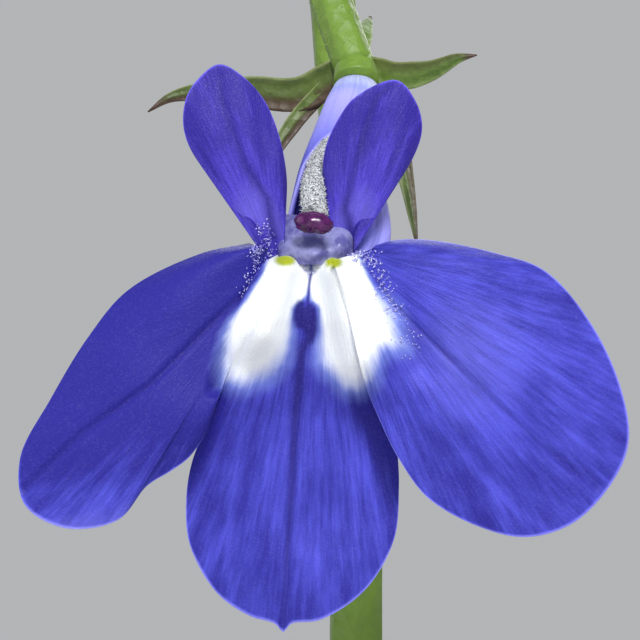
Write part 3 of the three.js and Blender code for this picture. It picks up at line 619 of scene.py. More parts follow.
GAP = 0.3
POT = dict(height=80, top=46, base=32, wall=4, floor=5, rim=17, step=3, edge=1.4,
           drain=4, drain_out=15, drains=3)
SOIL_TOP, SOIL_LUMP, HOLE_DEPTH = 70, 1.1, 9
BUSH = dict(seed=104, centre=84, stems=12, blooms=41, leaves=12, tip_radius=46, tip_rise=58,
            tip_lowest=0.08, bloom_radius=60, bloom_rise=74, bloom_lowest=-0.2)
STEM_BASE, STEM_TIP = 1.3, 0.7
PEDICEL_RADIUS, PEDICEL_LENGTH = 0.5, 14
CALYX_LOBE, CALYX_THICKNESS = 3.5, 1
LEAF = dict(longest=27, shortest=14, widest=10.5, narrowest=3.4, droop=0.2, toothed=3)
FRONT_CENTRE = vec(0, -46, 166)
LOOK_UP = math.radians(15)
VIEW_DISTANCE = 200
PICTURE_WIDTH = 19.93
FRONT_UP = vec(0, -math.sin(LOOK_UP), math.cos(LOOK_UP))
FRONT_OUT = vec(0, -math.cos(LOOK_UP), -math.sin(LOOK_UP))
FRONT_STEM_BASE = vec(-5, -17, SOIL_TOP - HOLE_DEPTH)
FRONT_CALYX = (1.09, 7.85, -5.95)


def front_point(right, up, near):
    """A place on the front bloom: right, up and towards the viewer of the picture's middle."""
    right, up, near = (np.asarray(x, float)[..., None] for x in (right, up, near))
    drawn_in = 1 - near / VIEW_DISTANCE
    return FRONT_CENTRE + vec(1, 0, 0) * right * drawn_in + FRONT_UP * up * drawn_in \
        + FRONT_OUT * near


def dome(azimuth, rise, radius, height):
    flat = math.sqrt(1 - rise * rise)
    return vec(radius * flat * math.cos(azimuth), radius * flat * math.sin(azimuth),
               BUSH["centre"] + height * rise)


def stem_curve(azimuth, base_out, tip):
    out = vec(math.cos(azimuth), math.sin(azimuth), 0)
    base = UP * (SOIL_TOP - HOLE_DEPTH) + out * base_out
    rise = tip[2] - base[2]
    low = base + UP * max(0.45 * rise, 22)
    high = tip - out * 0.28 * math.hypot(tip[0], tip[1]) - UP * 0.12 * rise
    return [base, low, high, tip]


def place_stems(draw):
    stems = []
    for i in range(BUSH["stems"]):
        share = (i + 0.5) / BUSH["stems"]
        azimuth = i * GOLDEN_ANGLE + 0.9 + 0.25 * (next(draw) - 0.5)
        rise = mix(0.98, BUSH["tip_lowest"], share)
        size = 1 + 0.1 * (next(draw) - 0.5)
        tip = dome(azimuth, rise, BUSH["tip_radius"] * size, BUSH["tip_rise"] * size)
        curve = stem_curve(azimuth, mix(6, 27, share), tip)
        stems.append(dict(curve=curve, pedicels=[], leaf_count=BUSH["leaves"], last_leaf=0.97,
                          front=False))
    return stems


def bloom_frame(throat, out, roll, size):
    level = unit(np.cross(UP, out))
    raised = np.cross(out, level)
    across = turned_by(level, raised, roll)
    up = np.cross(out, across)
    tube_end = throat + up * 3.2 * size - out * 5.5 * size
    return dict(throat=throat, across=across, up=up, out=out, size=size, tube_end=tube_end)


def place_blooms(draw):
    blooms = []
    for k in range(BUSH["blooms"]):
        rise = mix(0.985, BUSH["bloom_lowest"], (k + 0.5) / BUSH["blooms"])
        azimuth = k * GOLDEN_ANGLE + 0.3 + 0.16 * (next(draw) - 0.5)
        reach = 1 + 0.13 * (next(draw) - 0.5)
        centre = dome(azimuth, rise, BUSH["bloom_radius"] * reach, BUSH["bloom_rise"] * reach)
        flat = math.sqrt(1 - rise * rise) + 0.25
        heading = azimuth + 0.3 * (next(draw) - 0.5)
        out = unit(vec(flat * math.cos(heading), flat * math.sin(heading), 0.6 * rise))
        roll = 0.4 * (next(draw) - 0.5)
        size = mix(0.78, 0.92, next(draw))
        bloom = bloom_frame(centre, out, roll, size)
        blooms.append(bloom_frame(centre + bloom["up"] * 3 * size, out, roll, size))
    return blooms


def add_pedicel(stem, bloom, t):
    start = bezier(stem["curve"], t)
    back = unit(bloom["tube_end"] - bloom["throat"])
    seat = bloom["tube_end"] + back * (GAP + 0.5 * CALYX_THICKNESS)
    reach = np.linalg.norm(start - seat)
    lift = start + tangent(stem["curve"], t) * 0.3 * reach
    arch = seat + back * 0.38 * reach
    stem["pedicels"].append(dict(curve=[start, lift, arch, seat], bloom=bloom, back=back))


def join_blooms(stems, blooms):
    """Each bloom hangs from the stem place whose distance suits a pedicel best."""
    for bloom in blooms:
        best = None
        for stem in stems:
            t = 0.5
            while t < 0.99:
                gap = np.linalg.norm(bezier(stem["curve"], t) - bloom["tube_end"])
                cost = abs(gap - PEDICEL_LENGTH) + 4 * (1 - t)
                if best is None or cost < best[0]:
                    best = (cost, stem, t)
                t += 0.04
        add_pedicel(best[1], bloom, best[2])


def place_front_stem():
    curve = [FRONT_STEM_BASE, FRONT_STEM_BASE + vec(4, 0, 45), front_point(3.6, -4, -14),
             front_point(-0.5, 16, -13.5)]
    pedicel = [bezier(curve, 0.93), front_point(-1.2, 15.8, -12),
               front_point(-0.9, 13.2, -8.6), front_point(*FRONT_CALYX)]
    return dict(curve=curve, pedicels=[dict(curve=pedicel)], leaf_count=9, last_leaf=0.6,
                front=True)


def inside_bloom(points, bloom):
    local = points - bloom["throat"]
    a, b, c = (local @ bloom[k] / bloom["size"] for k in ("across", "up", "out"))
    in_face = (c > -3) & (c < 4) & (np.hypot(a, b + 3.2) < 11)
    middle = mix(bloom["throat"], bloom["tube_end"], 0.5)
    by_middle = np.linalg.norm(points - middle, axis=-1) < 4
    by_end = np.linalg.norm(points - bloom["tube_end"], axis=-1) < 5
    return in_face | by_middle | by_end


def path_gap(points, path):
    return np.linalg.norm(points[:, None] - path[None], axis=-1).min(1)


def is_clear(points, stem, stems, blooms):
    """True where all points keep clear of the pot, the blooms and every other stem."""
    out = np.hypot(points[:, 0], points[:, 1])
    by_pot = (out < POT["top"] + 2.5) & (points[:, 2] < POT["height"] + 2.5)
    in_pot = (out > POT["top"] - 10) | (points[:, 2] < SOIL_TOP + 4)
    if (by_pot & in_pot).any():
        return False
    if any(inside_bloom(points, bloom).any() for bloom in blooms):
        return False
    own = path_gap(points, stem["path"])
    for other in stems:
        if other is stem:
            continue
        if (path_gap(points, other["path"]) <= own + 1.6).any():
            return False
        if any((path_gap(points, twig) <= 2.2).any() for twig in other["twigs"]):
            return False
    return True


def square_to(axis, hint):
    side = unit(np.cross(hint, axis))
    return side, np.cross(axis, side)


def leaf_frame(stem, t, azimuth):
    axis = tangent(stem["curve"], t)
    a, b = square_to(axis, vec(0.3, 0.2, 1))
    outward = turned_by(a, b, azimuth)
    ahead = unit(outward * 0.85 + axis * 0.55)
    across = unit(np.cross(axis, outward))
    up = -np.cross(ahead, across)
    return dict(root=bezier(stem["curve"], t), ahead=ahead, across=across, up=up)


def leaf_point(leaf, far, side, rise):
    far, side, rise = (np.asarray(x, float)[..., None] for x in (far, side, rise))
    lift = rise - LEAF["droop"] * far * far * leaf["length"] + 0.12 * abs(side) * leaf["width"]
    return leaf["root"] + leaf["ahead"] * far * leaf["length"] \
        + leaf["across"] * side * leaf["width"] * 0.5 + leaf["up"] * lift


def fit_leaf(frame_of_leaf, length, width, shares, stem, stems, blooms):
    """The longest of several sizes of a leaf that keeps clear, or None."""
    far = np.array([0.3, 0.5, 0.75, 0.9, 1.05, 0.5, 0.5, 0.78, 0.78])
    side = np.array([0, 0, 0, 0, 0, 1, -1, 1, -1])
    for share in shares:
        leaf = dict(frame_of_leaf, length=length * share, width=width * math.sqrt(share))
        if is_clear(leaf_point(leaf, far, side, 0 * far), stem, stems, blooms):
            return leaf
    return None


def place_leaves(stem, stems, blooms, draw):
    leaves = []
    turn = 2 * math.pi * next(draw)
    for j in range(stem["leaf_count"]):
        t = mix(0.24, stem["last_leaf"], (j + 0.5) / stem["leaf_count"])
        placed = leaf_frame(stem, t, turn + j * GOLDEN_ANGLE)
        placed["toothed"] = j < LEAF["toothed"]
        leaf = fit_leaf(placed, mix(LEAF["longest"], LEAF["shortest"], t),
                        mix(LEAF["widest"], LEAF["narrowest"], t),
                        (1, 0.88, 0.76, 0.64, 0.52, 0.4), stem, stems, blooms)
        if leaf:
            leaves.append(leaf)
    return leaves


# Front bloom

LEFT_EYE = vec(-1.5, 2.4, -0.6, 2.4, -0.26, 1.6, -0.3, 1.1, -0.42, 0.72, -0.82, 0.4, -0.86, -0.1,
               -0.84, -0.5, -0.95, -0.95, -1.12, -1.35, -1.4, -1.65, -1.81, -1.87, -2.34, -2.06, -2.93, -1.9,
               -3.05, -1.4, -3.0, -0.93, -2.99, -0.47, -2.86, -0.06, -2.65, 0.22, -2.34, 0.62,
               -2.09, 1.03, -1.81, 1.43).reshape(-1, 2)
RIGHT_EYE = vec(-0.1, 2.4, 1.1, 2.4, 1.35, 1.71, 1.56, 1.25, 1.77, 0.87, 1.96, 0.59, 2.24, 0.31,
                2.43, 0, 2.62, -0.56, 2.74, -0.87, 2.02, -1.0, 1.81, -1.4, 1.62, -1.93, 1.25, -2.24,
                0.78, -2.12, 0.31, -1.71, 0, -1.25, -0.07, -0.75, -0.03, -0.3, -0.05, 0.4,
                -0.3, 0.62, -0.36, 1.1, -0.28, 1.6).reshape(-1, 2)
YELLOW_SPOTS = [((-1.08, 1.86), 0.36, 0.2), ((0.42, 1.8), 0.3, 0.2)]
BLOTCH = vec(-0.78, 0.35, -0.7, 0.56, -0.55, 0.6, -0.46, 0.42, -0.36, 0.5, -0.18, 0.4, -0.1, 0.1,
             -0.11, -0.35, -0.2, -0.68, -0.36, -0.74, -0.46, -0.45, -0.53, -0.3, -0.72, -0.22,
             -0.82, 0.05).reshape(-1, 2)
BLOTCH_STALK = [(-0.27, 1.5), (-0.34, 1.1), (-0.38, 0.5)]
MIDDLE_RIB = [(-0.3, -0.5), (-0.55, -0.95), (-0.75, -2.8), (-0.84, -4.36), (-1.0, -7), (-1.15, -9.6)]
LEFT_RIB = [(-2.0, 1.3), (-2.65, 0.62), (-5.29, -2.02), (-7.47, -3.58), (-9.19, -5.29)]
RIGHT_RIB = [(1.8, 1.2), (2.34, 0.47), (3.74, -0.93), (5.6, -2.65), (6.85, -3.89), (8.6, -5.2)]
UPPER_LEFT_RIB = [(-1.45, 2.6), (-1.62, 3.74), (-2.34, 4.83), (-3.05, 6.85), (-3.1, 7.6)]
UPPER_RIGHT_RIB = [(1.0, 2.7), (0.78, 3.43), (1.09, 4.83), (1.71, 6.85), (2.2, 7.3)]
LEFT_OVERLAP = [(-3.15, -2.2), (-3.5, -3.3), (-4.1, -4.4), (-4.6, -5.1)]
RIGHT_OVERLAP = [(1.35, -2.1), (1.8, -3.2), (2.46, -4.35), (2.7, -5.3)]
LEFT_TUCK = [(-2.3, -1.5, -0.4, 0.9, 2.3), (-3.4, -3.2, -2.8, -2.25, -1.6)]
LEFT_SEAM = [(-2.0, 1.7), (-2.75, 0.5), (-3.2, -0.7), (-3.3, -1.9)]
RIGHT_HOLLOW = [(1.6, 2.3), (2.0, 1.0), (2.7, 0), (3.2, -1.4)]
MIDDLE_GROUND = [(-9.8, -7.5, -5, -3, -1.5, 0, 2.1), (-1.9, -1.35, -1.2, -0.95, -0.4, 0, 0)]
CREST_HEIGHT = 0.95
EYE_SHARP, EYE_SOFT, EYE_RIGHT_SOFT = 0.16, 0.75, 0.7
STALK_WIDTH = 0.045
RIB_WIDTH = 0.13
# Width and strength of the painted highlight along the lobes' rims.
RIM_WIDTH, RIM_HIGHLIGHT = 0.07, 0.45
BACK_PALE = 0.4
FOLD_HEIGHT, FINE_FOLD_HEIGHT, SWELL_HEIGHT, FRILL_HEIGHT = 0.055, 0.014, 0.05, 0.1
LEFT_CREST = [(-0.95, 1.95), (-1.3, 0.8), (-1.75, -0.4), (-2.3, -1.8)]
RIGHT_CREST = [(0.36, 1.85), (0.65, 1.06), (1.0, -0.4), (1.37, -1.9), (1.75, -3.0)]


def eye_marks(uv):
    """The white eye, sharp at the throat and feathered towards the lobes."""
    depth = np.maximum(depth_inside(uv, LEFT_EYE), depth_inside(uv, RIGHT_EYE))
    u, v = uv[..., 0], uv[..., 1]
    band = mix(EYE_SHARP, EYE_SOFT, smoothstep(0.6, -1.6, v))
    outer = smoothstep(1.3, 2.2, u) * smoothstep(1.6, 0.6, v)
    band = np.maximum(band, EYE_RIGHT_SOFT * outer)
    return np.clip(0.5 + 0.5 * depth / band, 0, 1)


def dark_marks(uv, rib, strength, width):
    gap, share = from_path(uv, rib)
    vein = strength * bell(gap, mix(width, 0.5 * width, share)) * (1 - 0.35 * share)
    blotch = smoothstep(-0.1, 0.06, depth_inside(uv, BLOTCH))
    stalk = 0.8 * bell(from_path(uv, BLOTCH_STALK)[0], STALK_WIDTH)
    return np.clip(np.maximum.reduce([vein, 0.92 * blotch, stalk]), 0, 1)


def yellow_marks(uv):
    marks = 0
    for centre, wide, high in YELLOW_SPOTS:
        reach = np.hypot((uv[..., 0] - centre[0]) / wide, (uv[..., 1] - centre[1]) / high)
        marks = np.maximum(marks, 1 - smoothstep(0.6, 1.25, reach))
    return marks


def crest_height(uv, crest, height, narrow, broad):
    gap, share = from_path(uv, crest)
    fade = 1 - smoothstep(0.6, 1.0, share)
    return height * fade * bell(gap, mix(narrow, broad, share))


def left_crest(uv):
    return crest_height(uv, LEFT_CREST, CREST_HEIGHT, 0.42, 0.8)


def right_crest(uv):
    return crest_height(uv, RIGHT_CREST, CREST_HEIGHT, 0.45, 0.75)


def middle_height(uv, s, t):
    u, v = uv[..., 0], uv[..., 1]
    ground = np.interp(v, *MIDDLE_GROUND)
    arch = -0.03 * (u + 0.9) ** 2 * smoothstep(-1.5, -4, v)
    rounded_off = 1.3 * smoothstep(1.35, 2.45, v) ** 1.5
    return ground + arch + left_crest(uv) + right_crest(uv) - rounded_off


def left_height(uv, s, t):
    free = 0.15 - 0.9 * (1 - t) * s ** 1.5 + 0.5 * np.sin(math.pi * s)
    free = free - 0.25 * bell(from_path(uv, LEFT_SEAM)[0], 0.9)
    across = uv[..., 0] - np.interp(uv[..., 1], *LEFT_TUCK)
    tucked = smoothstep(-0.3, 0.3, across) * smoothstep(-2.5, -2.05, uv[..., 1])
    return mix(free, np.maximum(middle_height(uv, s, t) - 0.3, -0.45), tucked)


def right_height(uv, s, t):
    hollow = 0.3 * bell(from_path(uv, RIGHT_HOLLOW)[0], 0.6)
    curl = -0.8 * t * s ** 1.5
    lift = 0.3 * (1 - s) + 0.4 * np.sin(math.pi * s) * smoothstep(0.1, 0.45, t)
    edge = from_path(uv, RIGHT_CREST)[0]
    return lift + curl + 0.06 + right_crest(uv) - hollow * smoothstep(0.3, 0.9, edge)


def upper_height(uv, s, t):
    return -0.35 + 0.3 * np.sin(math.pi * s) - 0.25 * s ** 3 + 0.22 * (2 * t - 1) ** 2 * s


# Painted shade: the upper lobes a little lighter part way out, and darker towards their tips and at their
# bases.
def upper_painted_shading(uv, s):
    return mix(0.1, -0.3, smoothstep(0.25, 0.85, s)) - 0.3 * (1 - smoothstep(0.02, 0.22, s))


# Painted shading: the left lobe darker at its top and a little lighter at its bottom.
def left_painted_shading(uv, s):
    return mix(-0.72, 0.2, smoothstep(0.5, -6.0, uv[..., 1] - 0.25 * uv[..., 0]))


# Painted shade: the middle lobe darker along where the side lobes overlap it, and a little darker all over.
def middle_painted_shade(uv, s):
    gap = np.minimum(from_path(uv, LEFT_OVERLAP)[0], from_path(uv, RIGHT_OVERLAP)[0])
    return -0.06 - 0.5 * bell(gap, 0.45) * smoothstep(-1.8, -2.6, uv[..., 1])


# Painted light on the inner middle of the right lobe, and a little painted shade elsewhere.
def right_painted_shading(uv, s):
    inner = np.hypot(uv[..., 0] - 4.6, 0.9 * (uv[..., 1] + 1.3))
    return 0.16 * bell(inner, 2.8) - 0.09


FRONT_LOBES = dict(
    upper_left=dict(
        base=[(-1.08, 1.7), (-1.78, 1.85)], rib=UPPER_LEFT_RIB, height=upper_height,
        tone=upper_painted_shading, groove=0.05, vein=(0.75, 0.17), size=(80, 90),
        edge=[(-1.12, 2.86), (-1.03, 4.36), (-1.28, 5.76), (-1.74, 6.85), (-2.49, 7.66),
              (-3.15, 7.97), (-3.77, 7.54), (-4.17, 6.91), (-4.24, 5.92), (-3.77, 4.89),
              (-2.34, 3.55), (-1.87, 2.96)]),
    left=dict(
        base=[(-1.6, 2.2), (-2.5, -0.6)], rib=LEFT_RIB, height=left_height,
        tone=left_painted_shading, groove=0.11, vein=(0.5, 0.09), size=(80, 200),
        edge=[(-2.2, 2.4), (-3.74, 2.06), (-5.98, 0.93), (-7.22, -0.53), (-8.41, -2.49),
              (-9.34, -4.3), (-9.19, -5.76), (-7.94, -6.48), (-6.29, -6.23), (-5.39, -5.17),
              (-4.67, -4.72), (-4.1, -4.3), (-3.6, -3.6), (-3.3, -2.8), (-3.2, -2.1), (-2.8, -1.4)]),
    middle=dict(
        base=[(-1.3, 2.4), (1.1, 2.4)], rib=MIDDLE_RIB, height=middle_height,
        tone=middle_painted_shade, groove=0.09, vein=(0.9, 0.17), size=(110, 200),
        edge=[(-1.45, 2.3), (-1.66, 1.95), (-2.2, 1.1), (-2.72, 0.2), (-3.05, -0.9),
              (-3.1, -1.9), (-3.5, -3.2), (-3.98, -4.4), (-4.17, -5.61), (-4.05, -7.01),
              (-3.21, -8.5), (-2.18, -9.22), (-1.4, -9.46), (-1.15, -9.72), (-0.9, -9.46),
              (0, -9.34), (1.4, -8.41), (2.3, -6.85), (2.46, -5.14), (2.4, -3.6), (2.5, -2.2),
              (2.6, -1.0), (2.2, 0.4), (1.7, 1.4), (1.45, 1.95), (1.25, 2.3)]),
    right=dict(
        base=[(0.36, 1.85), (1.6, 2.2)], rib=RIGHT_RIB, height=right_height,
        tone=right_painted_shading, groove=0.1, vein=(0.5, 0.08), size=(80, 240),
        edge=[(0.52, 1.5), (0.68, 0.9), (0.88, 0.1), (1.1, -0.8), (1.37, -1.9), (1.85, -3.1),
              (2.46, -4.33), (3.36, -5.54), (4.98, -6.45), (6.45, -6.76), (7.94, -6.29),
              (9.19, -4.92), (9.62, -3.74), (9.34, -2.02), (8.41, -0.06), (7.01, 1.53),
              (5.45, 2.09), (3.43, 2.49), (2.34, 2.49), (1.75, 2.35)]),
    upper_right=dict(
        base=[(1.05, 1.9), (0.45, 1.9)], rib=UPPER_RIGHT_RIB, height=upper_height,
        tone=upper_painted_shading, groove=0.05, vein=(0.75, 0.17), size=(80, 90),
        edge=[(1.06, 2.6), (1.12, 3.15), (1.38, 3.52), (2.02, 3.83), (2.8, 4.86),
              (3.18, 5.92), (3.02, 6.73), (2.4, 7.47), (1.09, 6.94), (0.62, 6.35),
              (0.25, 5.61), (0.09, 4.89), (0.14, 3.6), (0.44, 2.96)]),
)
PETAL_THICKNESS = 0.24


def lobe_grid(base, edge, rows, columns):
    """Picture places over a lobe, from its base line to its edge, closest together at the edge."""
    far = 1 - (1 - np.linspace(0, 1, rows)) ** 1.4
    start = np.linspace(*np.array(base, float), columns)
    rim = smooth_path(edge, columns)
    uv = start[None] + (rim - start)[None] * far[:, None, None]
    s = np.broadcast_to(far[:, None], (rows, columns))
    t = np.broadcast_to(np.linspace(0, 1, columns)[None], (rows, columns))
    to_edge = np.linalg.norm(rim - start, axis=1)[None] * (1 - s)
    return uv, s, t, to_edge


def pale_back(marks):
    back_marks = np.zeros_like(marks)
    back_marks[..., 3] = BACK_PALE
    return back_marks


def lobe_lay(s, t):
    """Where the streaks of a lobe lie: out along it and across it."""
    return np.stack([s * 8, t * 10], -1)


def front_lobe(name, lobe, rng):
    uv, s, t, to_edge = lobe_grid(lobe["base"], lobe["edge"], *lobe["size"])
    near = lobe["height"](uv, s, t)
    rib_gap, rib_share = from_path(uv, lobe["rib"])
    folds = waves(rng, 1.6 * s, 26 * t, 6, 0.7, 1.6) * smoothstep(0.15, 0.7, s)
    fine_folds = waves(rng, 2 * s, 80 * t, 6, 0.7, 1.4) * smoothstep(0.2, 0.8, s)
    swell = waves(rng, uv[..., 0], uv[..., 1], 7, 1.0, 2.4)
    near = near + FOLD_HEIGHT * folds + FINE_FOLD_HEIGHT * fine_folds
    near = near + SWELL_HEIGHT * swell * smoothstep(0, 0.4, s)
    near = near - lobe["groove"] * bell(rib_gap, RIB_WIDTH) * smoothstep(0.02, 0.2, rib_share)
    near = near + FRILL_HEIGHT * waves(rng, s, 16 * t, 3, 0.8, 1.3) * smoothstep(0.75, 1, s)
    thick = PETAL_THICKNESS * (1 - 0.85 * bell(to_edge, 0.22))
    front = front_point(uv[..., 0], uv[..., 1], near)
    back = front_point(uv[..., 0], uv[..., 1], near - thick)
    # Pale mark: the lobe's painted light and shade, plus the painted highlight along its rim.
    pale = lobe["tone"](uv, s) + RIM_HIGHLIGHT * bell(to_edge, RIM_WIDTH)
    pale = pale - 0.2 * bell(fine_folds + 1.2, 0.5) * smoothstep(0.25, 0.6, s)
    dark = dark_marks(uv, lobe["rib"], *lobe["vein"])
    marks = np.stack([eye_marks(uv), dark, yellow_marks(uv), pale], -1)
    if name.startswith("upper"):
        marks[..., 0] = 0
        marks[..., 2] = 0
    shape = Shape()
    shape.add_sheet(front, back, marks, pale_back(marks), lobe_lay(s, t))
    return shape, dict(front=front, uv=uv)


# The tube behind the mouth: right, up, near, half its width and half its height
TUBE_STATIONS = vec(0.3, 1.7, -0.9, 1.4, 0.5, 0.55, 2.6, -1.5, 1.66, 0.75, 0.62, 4.4, -2.6, 1.35,
                    0.9, 0.85, 5.8, -3.75, 1.05, 0.9, 1.1, 6.75, -4.85, 0.92, 0.75,
                    1.12, 7.2, -5.5, 0.72, 0.55).reshape(-1, 5)
SLIT_END = 0.62
SLIT_SHARES = (0, 0.3, 0.46, 0.56, SLIT_END, 1)
SLIT_GAPS = (1.5, 1.3, 1.05, 0.5, -0.03, -0.03)


def front_tube_sheet():
    """The slit corolla tube: violet below, whitish towards the calyx and along the slit's lips."""
    rows, columns = 60, 72
    path = smooth_path(TUBE_STATIONS, rows)
    share = np.linspace(0, 1, rows)[:, None]
    left_gap = np.interp(share, SLIT_SHARES, SLIT_GAPS)
    right_gap = mix(0.3, -0.03, smoothstep(0.2, SLIT_END, share))
    turn = mix(right_gap, 2 * math.pi - left_gap, np.linspace(0, 1, columns)[None])
    centre = front_point(*path[:, :3].T)
    axis = unit(np.gradient(centre, axis=0))
    side = unit(vec(1, 0, 0) - axis * axis[:, :1])
    face = np.cross(side, axis)
    face = face * np.sign(face @ FRONT_OUT)[:, None]
    reach = face[:, None] * np.cos(turn)[..., None] * path[:, 4, None, None] \
        + side[:, None] * np.sin(turn)[..., None] * path[:, 3, None, None]
    outer = centre[:, None] + reach
    inner = centre[:, None] + reach * 0.9
    lip = 2 * math.pi - left_gap - turn
    at_lip = bell(lip, 0.1) * (1 - smoothstep(SLIT_END, SLIT_END + 0.1, share))
    rightward = smoothstep(0.15, 0.9, np.sin(turn)) * (1 - smoothstep(0.3, 0.45, share))
    towards_calyx = smoothstep(0.4, 0.85, share) * np.ones_like(turn)
    pale = np.clip(0.9 * at_lip + 0.75 * rightward + 0.95 * towards_calyx, 0, 1)
    veins = 0.3 * bell(np.sin(9 * turn) - 0.9, 0.2) * (0.3 + rightward)
    marks = np.zeros(outer.shape[:2] + (4,))
    marks[..., 0] = 0.62 * smoothstep(0.72, 0.95, share)
    marks[..., 1] = np.clip(veins + 0.35 * (1 - smoothstep(0.1, 0.4, share)) * (np.sin(turn) < 0), 0, 1)
    marks[..., 3] = pale
    inner_marks = marks * 0
    inner_marks[..., 1] = 0.8
    lay = np.stack([share * 6 * np.ones_like(turn), turn * 3], -1)
    shape = Shape()
    shape.add_sheet(outer, inner, marks, inner_marks, lay)
    return shape


THROAT_LUMPS = [((-0.82, 2.3), 0.4, 0.4), ((0.66, 2.35), 0.4, 0.4), ((-0.12, 2.1), 0.5, 0.36),
                ((-0.45, 2.75), 0.2, 0.3), ((0.3, 2.8), 0.2, 0.3)]


def throat_folds(rng):
    """The pale, lavender-grey folds in the mouth, above the two white ridges."""
    rows, columns = 50, 70
    x = np.linspace(-1, 1, columns)[None] * np.ones((rows, 1))
    y = np.linspace(0, 1, rows)[:, None] * np.ones((1, columns))
    u = -0.13 + x * mix(1.15, 1.25, y)
    v = mix(1.72, 3.25, y) + 0.1 * x * x
    near = mix(0.3, -0.5, y ** 1.2) - 0.4 * x ** 4
    for place, lift, width in THROAT_LUMPS:
        near += lift * bell(np.hypot(u - place[0], v - place[1]), width)
    near += 0.035 * waves(rng, 6 * u, 6 * v, 6, 0.7, 1.4)
    front = front_point(u, v, near)
    back = front_point(u, v, near - 0.2)
    marks = np.zeros(front.shape[:2] + (4,))
    shape = Shape()
    shape.add_sheet(front, back, marks, marks, np.stack([u, v], -1))
    return shape


ANTHER_STATIONS = vec(0.6, 5.75, -3.4, 0.36, 0.1, 5, -1.9, 0.38, -0.2, 4.1, -0.4, 0.38,
                      -0.19, 3.33, 0.5, 0.36).reshape(-1, 4)
STIGMA_PLACE = (-0.19, 3.02, 1.0)
STIGMA_HALF = (0.57, 0.33, 0.36)


ANTHER_STEPS, ANTHER_SIDES, ANTHER_SEAMS = 60, 40, 5
BRISTLES = 900
TUFT_PLACE, TUFT_HAIRS = (0.03, 3.36, 0.78), 220
STIGMA_BEADS, STIGMA_HAIRS = 320, 90


def front_anthers(rng):
    path = smooth_path(ANTHER_STATIONS, ANTHER_STEPS)
    centre = front_point(*path[:, :3].T)
    rings = tube_rings(centre, path[:, 3], ANTHER_SIDES)
    seams = np.arange(ANTHER_SIDES) * ANTHER_SEAMS / ANTHER_SIDES
    dent = 1 - 0.07 * bell((seams % 1) - 0.5, 0.12)
    rings = ridged(rings, centre, dent)
    shape = Shape()
    shape.add_rings(rings)
    pick = rng.integers(20, ANTHER_STEPS, BRISTLES), rng.integers(0, ANTHER_SIDES, BRISTLES)
    roots = rings[pick]
    outward = unit(roots - centre[pick[0]])
    lean = unit(rng.normal(0, 1, roots.shape))
    add_hairs(shape, roots - outward * 0.01, outward + 0.8 * lean,
              rng.uniform(0.06, 0.17, BRISTLES), 0.014, 1)
    roots = front_point(*TUFT_PLACE) + rng.normal(0, 0.07, (TUFT_HAIRS, 3))
    spread = unit(rng.normal(0, 1, (TUFT_HAIRS, 3)) + FRONT_OUT + vec(0.3, 0, -0.4))
    add_hairs(shape, roots, spread, rng.uniform(0.1, 0.26, TUFT_HAIRS), 0.016, 1)
    return shape


def front_stigma(rng):
    rows, columns = 28, 48
    polar = np.linspace(0.02, math.pi - 0.02, rows)[:, None]
    turn = circle(columns)[None]
    x = np.sin(polar) * np.cos(turn)
    y = np.cos(polar) * np.ones_like(turn)
    z = np.sin(polar) * np.sin(turn)
    lobes = 1 + 0.07 * np.cos(2 * turn) - 0.16 * bell(x - 0.1, 0.18) * (y < 0)
    lobes = lobes * (1 + 0.03 * waves(rng, 9 * x, 9 * y + 4 * z, 8, 0.7, 1.4))
    right, high, deep = STIGMA_HALF
    u = STIGMA_PLACE[0] + right * x * lobes
    v = STIGMA_PLACE[1] + high * y * lobes - 0.06 * x
    near = STIGMA_PLACE[2] + deep * z * lobes
    rings = front_point(u, v, near)
    shape = Shape()
    shape.add_rings(rings)
    pick = rng.integers(4, rows - 4, STIGMA_BEADS), rng.integers(0, columns, STIGMA_BEADS)
    outward = unit(rings[pick] - front_point(*STIGMA_PLACE))
    add_beads(shape, rings[pick], rng.uniform(0.012, 0.024, STIGMA_BEADS))
    add_hairs(shape, rings[pick][:STIGMA_HAIRS], outward[:STIGMA_HAIRS],
              rng.uniform(0.04, 0.08, STIGMA_HAIRS), 0.008)
    return shape


# Lines of papillae: the lobe, the line, how far they spread from it and how many
PAPILLA_LINES = [
    ("upper_left", [(-1.75, 2.9), (-1.6, 2.4), (-1.5, 1.9)], 0.14, 110),
    ("left", [(-2.0, 2.3), (-1.95, 1.6), (-2.4, 0.8)], 0.16, 170),
    ("right", [(1.15, 2.0), (1.75, 1.75), (2.05, 1.0), (2.4, 0.2)], 0.17, 300),
    ("right", [(1.9, 0.9), (2.5, -0.1), (2.9, -0.9)], 0.28, 90),
    ("middle", [(-0.45, 1.75), (-0.3, 1.45)], 0.09, 60),
]


def papillae(lobes, rng):
    """Glistening hairs with beads on their tips."""
    shape = Shape()
    for name, path, spread, count in PAPILLA_LINES:
        lobe = lobes[name]
        gap, _ = from_path(lobe["uv"], path)
        weight = bell(gap, spread).ravel()
        chosen = rng.choice(weight.size, count, p=weight / weight.sum())
        roots = lobe["front"].reshape(-1, 3)[chosen]
        lean = unit(FRONT_OUT + 0.6 * rng.normal(0, 1, roots.shape))
        lengths = rng.uniform(0.03, 0.1, count)
        add_hairs(shape, roots - lean * 0.01, lean, lengths, 0.012)
        add_beads(shape, roots + lean * lengths[:, None], rng.uniform(0.011, 0.024, count))
    return shape


def build_front_bloom(petal, upper, throat, anther, bristle, stigma, dew):
    rng = np.random.default_rng(SEEDS["front"])
    lobes = {}
    for name, lobe in FRONT_LOBES.items():
        shape, lobes[name] = front_lobe(name, lobe, rng)
        kind = upper if name.startswith("upper") else petal
        add_piece(f"front_{name}_lobe", shape, [kind], "front_corolla")
    add_piece("front_tube", front_tube_sheet(), [petal], "front_corolla")
    add_piece("front_throat_folds", throat_folds(rng), [throat], "front_corolla")
    add_piece("front_anther_tube", front_anthers(rng), [anther, bristle], "front_anthers")
    add_piece("front_stigma_lips", front_stigma(rng), [stigma], "front_stigma")
    add_piece("front_papillae", papillae(lobes, rng), [dew])


# Blooms of the bush, across, up and out of their throats

